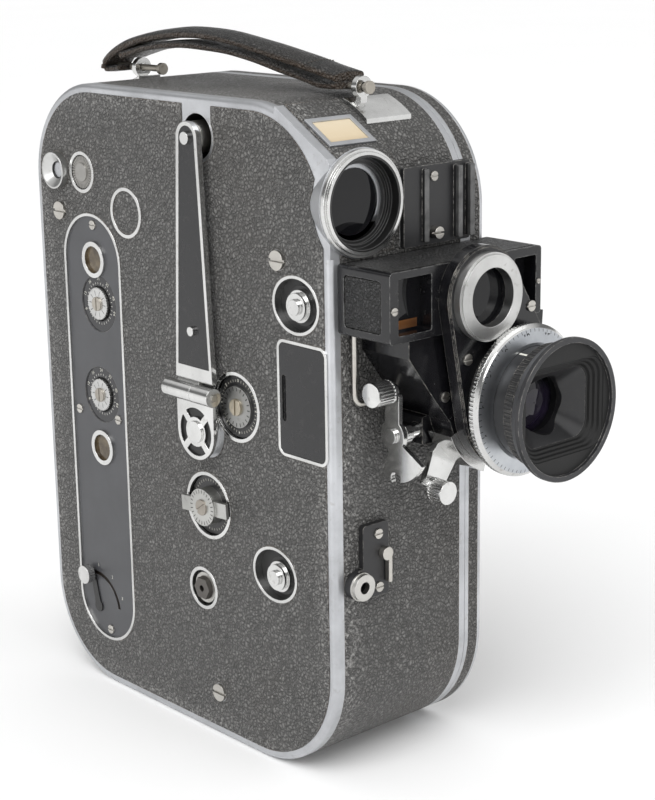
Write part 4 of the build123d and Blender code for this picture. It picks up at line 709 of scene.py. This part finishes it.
for look, names in LOOKS.items():
    for name in names:
        for material_slot in NODES[name].material_slots:
            material_slot.material = look


# --------------------------------------------------------------- mesh helpers
def mesh_object(name, bm, material, body, smooth=True):
    """Turns a bmesh into an object that rides on a body."""
    bmesh.ops.recalc_face_normals(bm, faces=bm.faces)
    mesh = bpy.data.meshes.new(name)
    bm.to_mesh(mesh)
    bm.free()
    mesh.materials.append(material)
    for polygon in mesh.polygons:
        polygon.use_smooth = smooth
    obj = bpy.data.objects.new(name, mesh)
    bpy.context.scene.collection.objects.link(obj)
    if body:
        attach(obj, body)
    return obj


def loft(rings):
    """Closed skin through rings that have equal numbers of points."""
    bm = bmesh.new()
    rows = [[bm.verts.new(point) for point in ring] for ring in rings]
    count = len(rows[0])
    for first, second in zip(rows, rows[1:]):
        for i in range(count):
            j = (i + 1) % count
            bm.faces.new((first[i], first[j], second[j], second[i]))
    bm.faces.new(rows[0])
    bm.faces.new(rows[-1])
    return bm


# ------------------------------------------------------------ the strap handle
def strap_section(half_width, thickness, crown, steps=7):
    """Closed section across the strap: crowned above, nearly flat below."""
    points = []
    for i in range(steps + 1):
        across = -half_width + 2 * half_width * i / steps
        rise = crown * (1 - (across / half_width) ** 2)
        points.append((across, thickness / 2 + rise))
    for i in range(steps + 1):
        across = half_width - 2 * half_width * i / steps
        points.append((across, -thickness / 2))
    return points


def strap_piece(name, path, half_widths, thicknesses, crown, material):
    """Leather strip that follows a path in the YZ plane."""
    curve = [Vector(p) for p in path]
    rings = []
    for i, point in enumerate(curve):
        before = curve[max(i - 1, 0)]
        after = curve[min(i + 1, len(curve) - 1)]
        along = (after - before).normalized()
        up = Vector((-along.y, along.x))
        if up.y < 0 and abs(along.x) > 0.5:
            up = -up
        section = strap_section(half_widths[i], thicknesses[i], crown)
        ring = []
        for across, lift in section:
            ring.append(Vector((across, point.x + up.x * lift, point.y + up.y * lift)) * MM)
        rings.append(ring)
    return mesh_object(name, loft(rings), material, "strap")


def sample(points, count):
    """Smooth Catmull-Rom points through the given ones."""
    padded = [points[0]] + list(points) + [points[-1]]
    result = []
    spans = len(points) - 1
    for i in range(count):
        place = spans * i / (count - 1)
        k = min(int(place), spans - 1)
        t = place - k
        p0, p1, p2, p3 = (Vector(padded[k + n]) for n in range(4))
        value = 0.5 * (2 * p1 + (p2 - p0) * t + (2 * p0 - 5 * p1 + 4 * p2 - p3) * t ** 2
                       + (3 * p1 - p0 - 3 * p2 + p3) * t ** 3)
        result.append(value)
    return result


THREAD = enamel("strap_thread", (0.05, 0.042, 0.034), 0.7, wear=0.0)
STRAP_POINTS = 60                      # points along each long layer

# Middle lines of the strap's layers: Y and Z in millimetres, from one bar to the other.
UPPER_PATH = [
    (70.6, 213.6), (69.8, 216.0), (64.5, 219.6), (54.0, 223.4), (40.0, 226.0), (25.0, 227.3),
    (8.0, 226.8), (-12.0, 224.0), (-30.0, 220.9), (-43.0, 218.4), (-50.0, 217.1),
]
REAR_FOLD_PATH = [(70.0, 213.6), (66.0, 213.9), (61.4, 214.4)]
LOWER_PATH = [
    (-50.0, 214.9), (-46.0, 214.8), (-41.0, 215.0), (-35.0, 216.1), (-24.0, 218.2), (-8.0, 221.3),
    (7.5, 223.1), (28.0, 223.8), (46.0, 222.0), (57.0, 219.6), (61.0, 218.6),
]
UPPER_HALF_WIDTH = 6.35
UPPER_THICKNESS = 2.5
UPPER_CROWN = 0.9
SEAM_POINTS = (5, 50)                  # where along the upper layer a seam crosses it
STITCH_PITCH = 1.25


def unevenness(i, seed):
    """Slow irregular wander of an old strap, between -1 and 1."""
    return 0.6 * math.sin(0.41 * i + seed) + 0.4 * math.sin(0.97 * i + 2.3 * seed)


def strap_layer(name, path, width, thickness, crown, seed, count=STRAP_POINTS):
    """One layer of the strap, a little narrower in the middle and uneven along its length."""
    widths = []
    thicknesses = []
    for i in range(count):
        waist = 0.55 * math.sin(math.pi * i / (count - 1))
        widths.append(width - waist + 0.16 * unevenness(i, seed))
        thicknesses.append(thickness + 0.20 * unevenness(i, seed + 1.7))
    piece = strap_piece(name, sample(path, count), widths, thicknesses, crown, STRAP)
    subdivision = piece.modifiers.new("round", "SUBSURF")
    subdivision.levels = 1
    subdivision.render_levels = 2
    return piece


def build_strap():
    """The strap goes through the two bars and is folded back under itself."""
    main = strap_layer("strap_upper", UPPER_PATH, UPPER_HALF_WIDTH, UPPER_THICKNESS,
                       UPPER_CROWN, 0.4)
    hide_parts("strap_handle")
    strap_layer("strap_lower", LOWER_PATH, 6.15, 2.3, 0.2, 2.1)
    strap_layer("strap_rear_fold", REAR_FOLD_PATH, 6.1, 2.0, 0.1, 3.3, count=16)
    cross_seams(sample(UPPER_PATH, STRAP_POINTS))


def cross_seams(path):
    """Short rows of thread across the strap where its layers are sewn together."""
    bm = bmesh.new()
    for i in SEAM_POINTS:
        here = path[i]
        along = (path[i + 1] - path[i - 1]).normalized()
        for step in range(-4, 5):
            across = step * STITCH_PITCH
            crown = UPPER_CROWN * (1 - (across / UPPER_HALF_WIDTH) ** 2)
            lift = UPPER_THICKNESS / 2 + crown
            centre = Vector((across, here.x, here.y + lift)) * MM
            turn = Matrix.Rotation(math.atan2(along.y, along.x), 4, "X")
            shape = Matrix.Diagonal((0.45 * MM, 0.24 * MM, 0.2 * MM, 1.0))
            bmesh.ops.create_uvsphere(bm, u_segments=8, v_segments=5, radius=1.0,
                                      matrix=Matrix.Translation(centre) @ turn @ shape)
    mesh_object("strap_seams", bm, THREAD, "strap")


build_strap()


# ------------------------------------------------------------------- numerals
PALE_INK = enamel("pale_ink", (0.50, 0.49, 0.44), 0.5, wear=0.0)
DARK_INK = enamel("dark_ink", (0.012, 0.012, 0.012), 0.5, wear=0.0)
SIDE_FACE = (Vector((0, -1, 0)), Vector((0, 0, 1)))
FRONT_FACE = (Vector((1, 0, 0)), Vector((0, 0, 1)))


def numerals(name, words, centre, face, radius, size, first, step, body, ink, upright=False):
    """Small raised numbers set round a centre; angles are in degrees."""
    right, up = face
    out_of_face = right.cross(up)
    bm = bmesh.new()
    for i, word in enumerate(words):
        curve = bpy.data.curves.new(f"{name}_{i}", "FONT")
        curve.body = word
        curve.size = size * MM
        curve.align_x = "CENTER"
        curve.align_y = "CENTER"
        curve.extrude = 0.03 * MM
        text = bpy.data.objects.new(f"{name}_{i}", curve)
        bpy.context.scene.collection.objects.link(text)
        depsgraph = bpy.context.evaluated_depsgraph_get()
        mesh = bpy.data.meshes.new_from_object(text.evaluated_get(depsgraph))
        angle = math.radians(first + step * i)
        outwards = math.cos(angle) * right + math.sin(angle) * up
        along = math.sin(angle) * right - math.cos(angle) * up
        axes = (right, up, out_of_face) if upright else (along, outwards, out_of_face)
        turned = Matrix(axes).transposed().to_4x4()
        mesh.transform(Matrix.Translation((Vector(centre) + outwards * radius) * MM) @ turned)
        bm.from_mesh(mesh)
        bpy.data.objects.remove(text)
        bpy.data.meshes.remove(mesh)
    mesh_object(name, bm, ink, body, smooth=False)


PANEL_FACE = SIDE_X + 0.35
FOCUS_MARKS = ("4", "5", "6", "8", "10", "15", "25", "50")
COUNTER_MARKS = ("0", "1", "2", "3", "4", "5", "6", "7")
DIAL_MARKS = ("8", "12", "16", "24", "32", "48", "64")
numerals("focus_numerals", FOCUS_MARKS, (LENS_AXIS[0], -108.75, LENS_AXIS[1]),
         FRONT_FACE, 20.0, 2.9, 200.0, -26.0, "lens_focus", DARK_INK)
numerals("counter_numerals", COUNTER_MARKS, (SIDE_X + 0.68, *COUNTER_DIAL),
         SIDE_FACE, 8.4, 1.5, 90.0, -45.0, "counter", PALE_INK)
for dial_name, dial_centre in (("upper", DIAL_ONE), ("lower", DIAL_TWO)):
    numerals(f"{dial_name}_scale", DIAL_MARKS, (PANEL_FACE + 0.38, *dial_centre),
             SIDE_FACE, 8.5, 1.6, 200.0, -36.0, "case", PALE_INK)
numerals("lever_scale", ("1", "2", "3"), (PANEL_FACE - 0.01, *PANEL_LEVER),
         SIDE_FACE, 15.4, 1.7, 88.0, -32.0, "case", PALE_INK, upright=True)


# ------------------------------------------------------------- floor and light
def pale_floor():
    """Plain pale floor that reaches past the horizon of every view."""
    s = Surface("pale_floor", Specular_IOR_Level=0.1)
    patch = s.noise(s.place(), 3.0, 3.0)
    look = s.finish((s.mix(patch, (0.90, 0.90, 0.90), (0.92, 0.92, 0.92)), 0.9, 0.0))
    bm = bmesh.new()
    bmesh.ops.create_grid(bm, x_segments=2, y_segments=2, size=30.0)
    floor = mesh_object("floor", bm, look, None)
    floor.location.z = cad_box[0][2] - 0.0001


def sun_light(name, place, power, softness):
    """Even light from one side, soft as from a wide window."""
    data = bpy.data.lights.new(name, "SUN")
    data.energy = power
    data.angle = math.radians(softness)
    lamp = bpy.data.objects.new(name, data)
    lamp.rotation_euler = (-Vector(place)).to_track_quat("-Z", "Y").to_euler()
    bpy.context.scene.collection.objects.link(lamp)


def area_light(name, place, size, power):
    """Panel of light aimed at the object, seen as a bright shape in polished metal."""
    data = bpy.data.lights.new(name, "AREA")
    data.shape = "RECTANGLE"
    data.size, data.size_y = size
    data.energy = power
    lamp = bpy.data.objects.new(name, data)
    lamp.location = place
    lamp.rotation_euler = (Vector((0, 0, 0.1)) - Vector(place)).to_track_quat("-Z", "Y").to_euler()
    bpy.context.scene.collection.objects.link(lamp)


# Height from straight down (0) to straight up (1), and brightness there.
SKY = (
    (0.0, 1.0), (0.50, 1.0), (0.565, 1.0), (0.60, 0.22), (0.72, 0.18), (0.80, 0.75), (1.0, 0.85),
)


def world_light(strength):
    """White surroundings with a dark band well above the horizon, for contrast in the metal."""
    world = bpy.data.worlds.new("studio")
    bpy.context.scene.world = world
    world.use_nodes = True
    nodes = world.node_tree.nodes
    links = world.node_tree.links
    coords = nodes.new("ShaderNodeTexCoord")
    split = nodes.new("ShaderNodeSeparateXYZ")
    rise = nodes.new("ShaderNodeMath")
    ramp = nodes.new("ShaderNodeValToRGB")
    links.new(coords.outputs["Generated"], split.inputs[0])
    rise.operation = "MULTIPLY_ADD"
    rise.inputs[1].default_value = 0.5
    rise.inputs[2].default_value = 0.5
    links.new(split.outputs["Z"], rise.inputs[0])
    links.new(rise.outputs[0], ramp.inputs["Fac"])
    elements = ramp.color_ramp.elements
    while len(elements) < len(SKY):
        elements.new(0.5)
    for element, (place, value) in zip(elements, SKY):
        element.position = place
        element.color = (value, value, value, 1.0)
    background = nodes["Background"]
    links.new(ramp.outputs["Color"], background.inputs["Color"])
    background.inputs["Strength"].default_value = strength


pale_floor()
world_light(1.0)
sun_light("key", (-0.9, -0.6, 1.3), 1.5, 40.0)
sun_light("fill", (0.6, -1.2, 0.9), 0.5, 60.0)
area_light("panel", (-1.3, 0.1, 0.55), (0.5, 0.9), 5.0)
area_light("front_panel", (0.1, -1.5, 0.6), (0.8, 0.5), 4.0)

# ---------------------------------------------------------------------- camera
# The photo's view. CAMERA_PLACE is in metres.
CAMERA_PLACE = (-0.38988, -0.47286, 0.26910)
RIGHT = Vector((0.74229, -0.66992, -0.01458))
UP = Vector((0.18301, 0.18175, 0.96616))
FORWARD = Vector((0.64460, 0.71985, -0.25751))
camera_data = bpy.data.cameras.new("camera")
camera_data.sensor_fit = "VERTICAL"
camera_data.sensor_height = 36.0
camera_data.lens = 84.34
camera = bpy.data.objects.new("camera", camera_data)
turn = Matrix((RIGHT, UP, -FORWARD)).transposed()
camera.matrix_world = Matrix.Translation(CAMERA_PLACE) @ turn.to_4x4()
bpy.context.scene.collection.objects.link(camera)
bpy.context.scene.camera = camera
bpy.context.scene.view_settings.view_transform = "Standard"
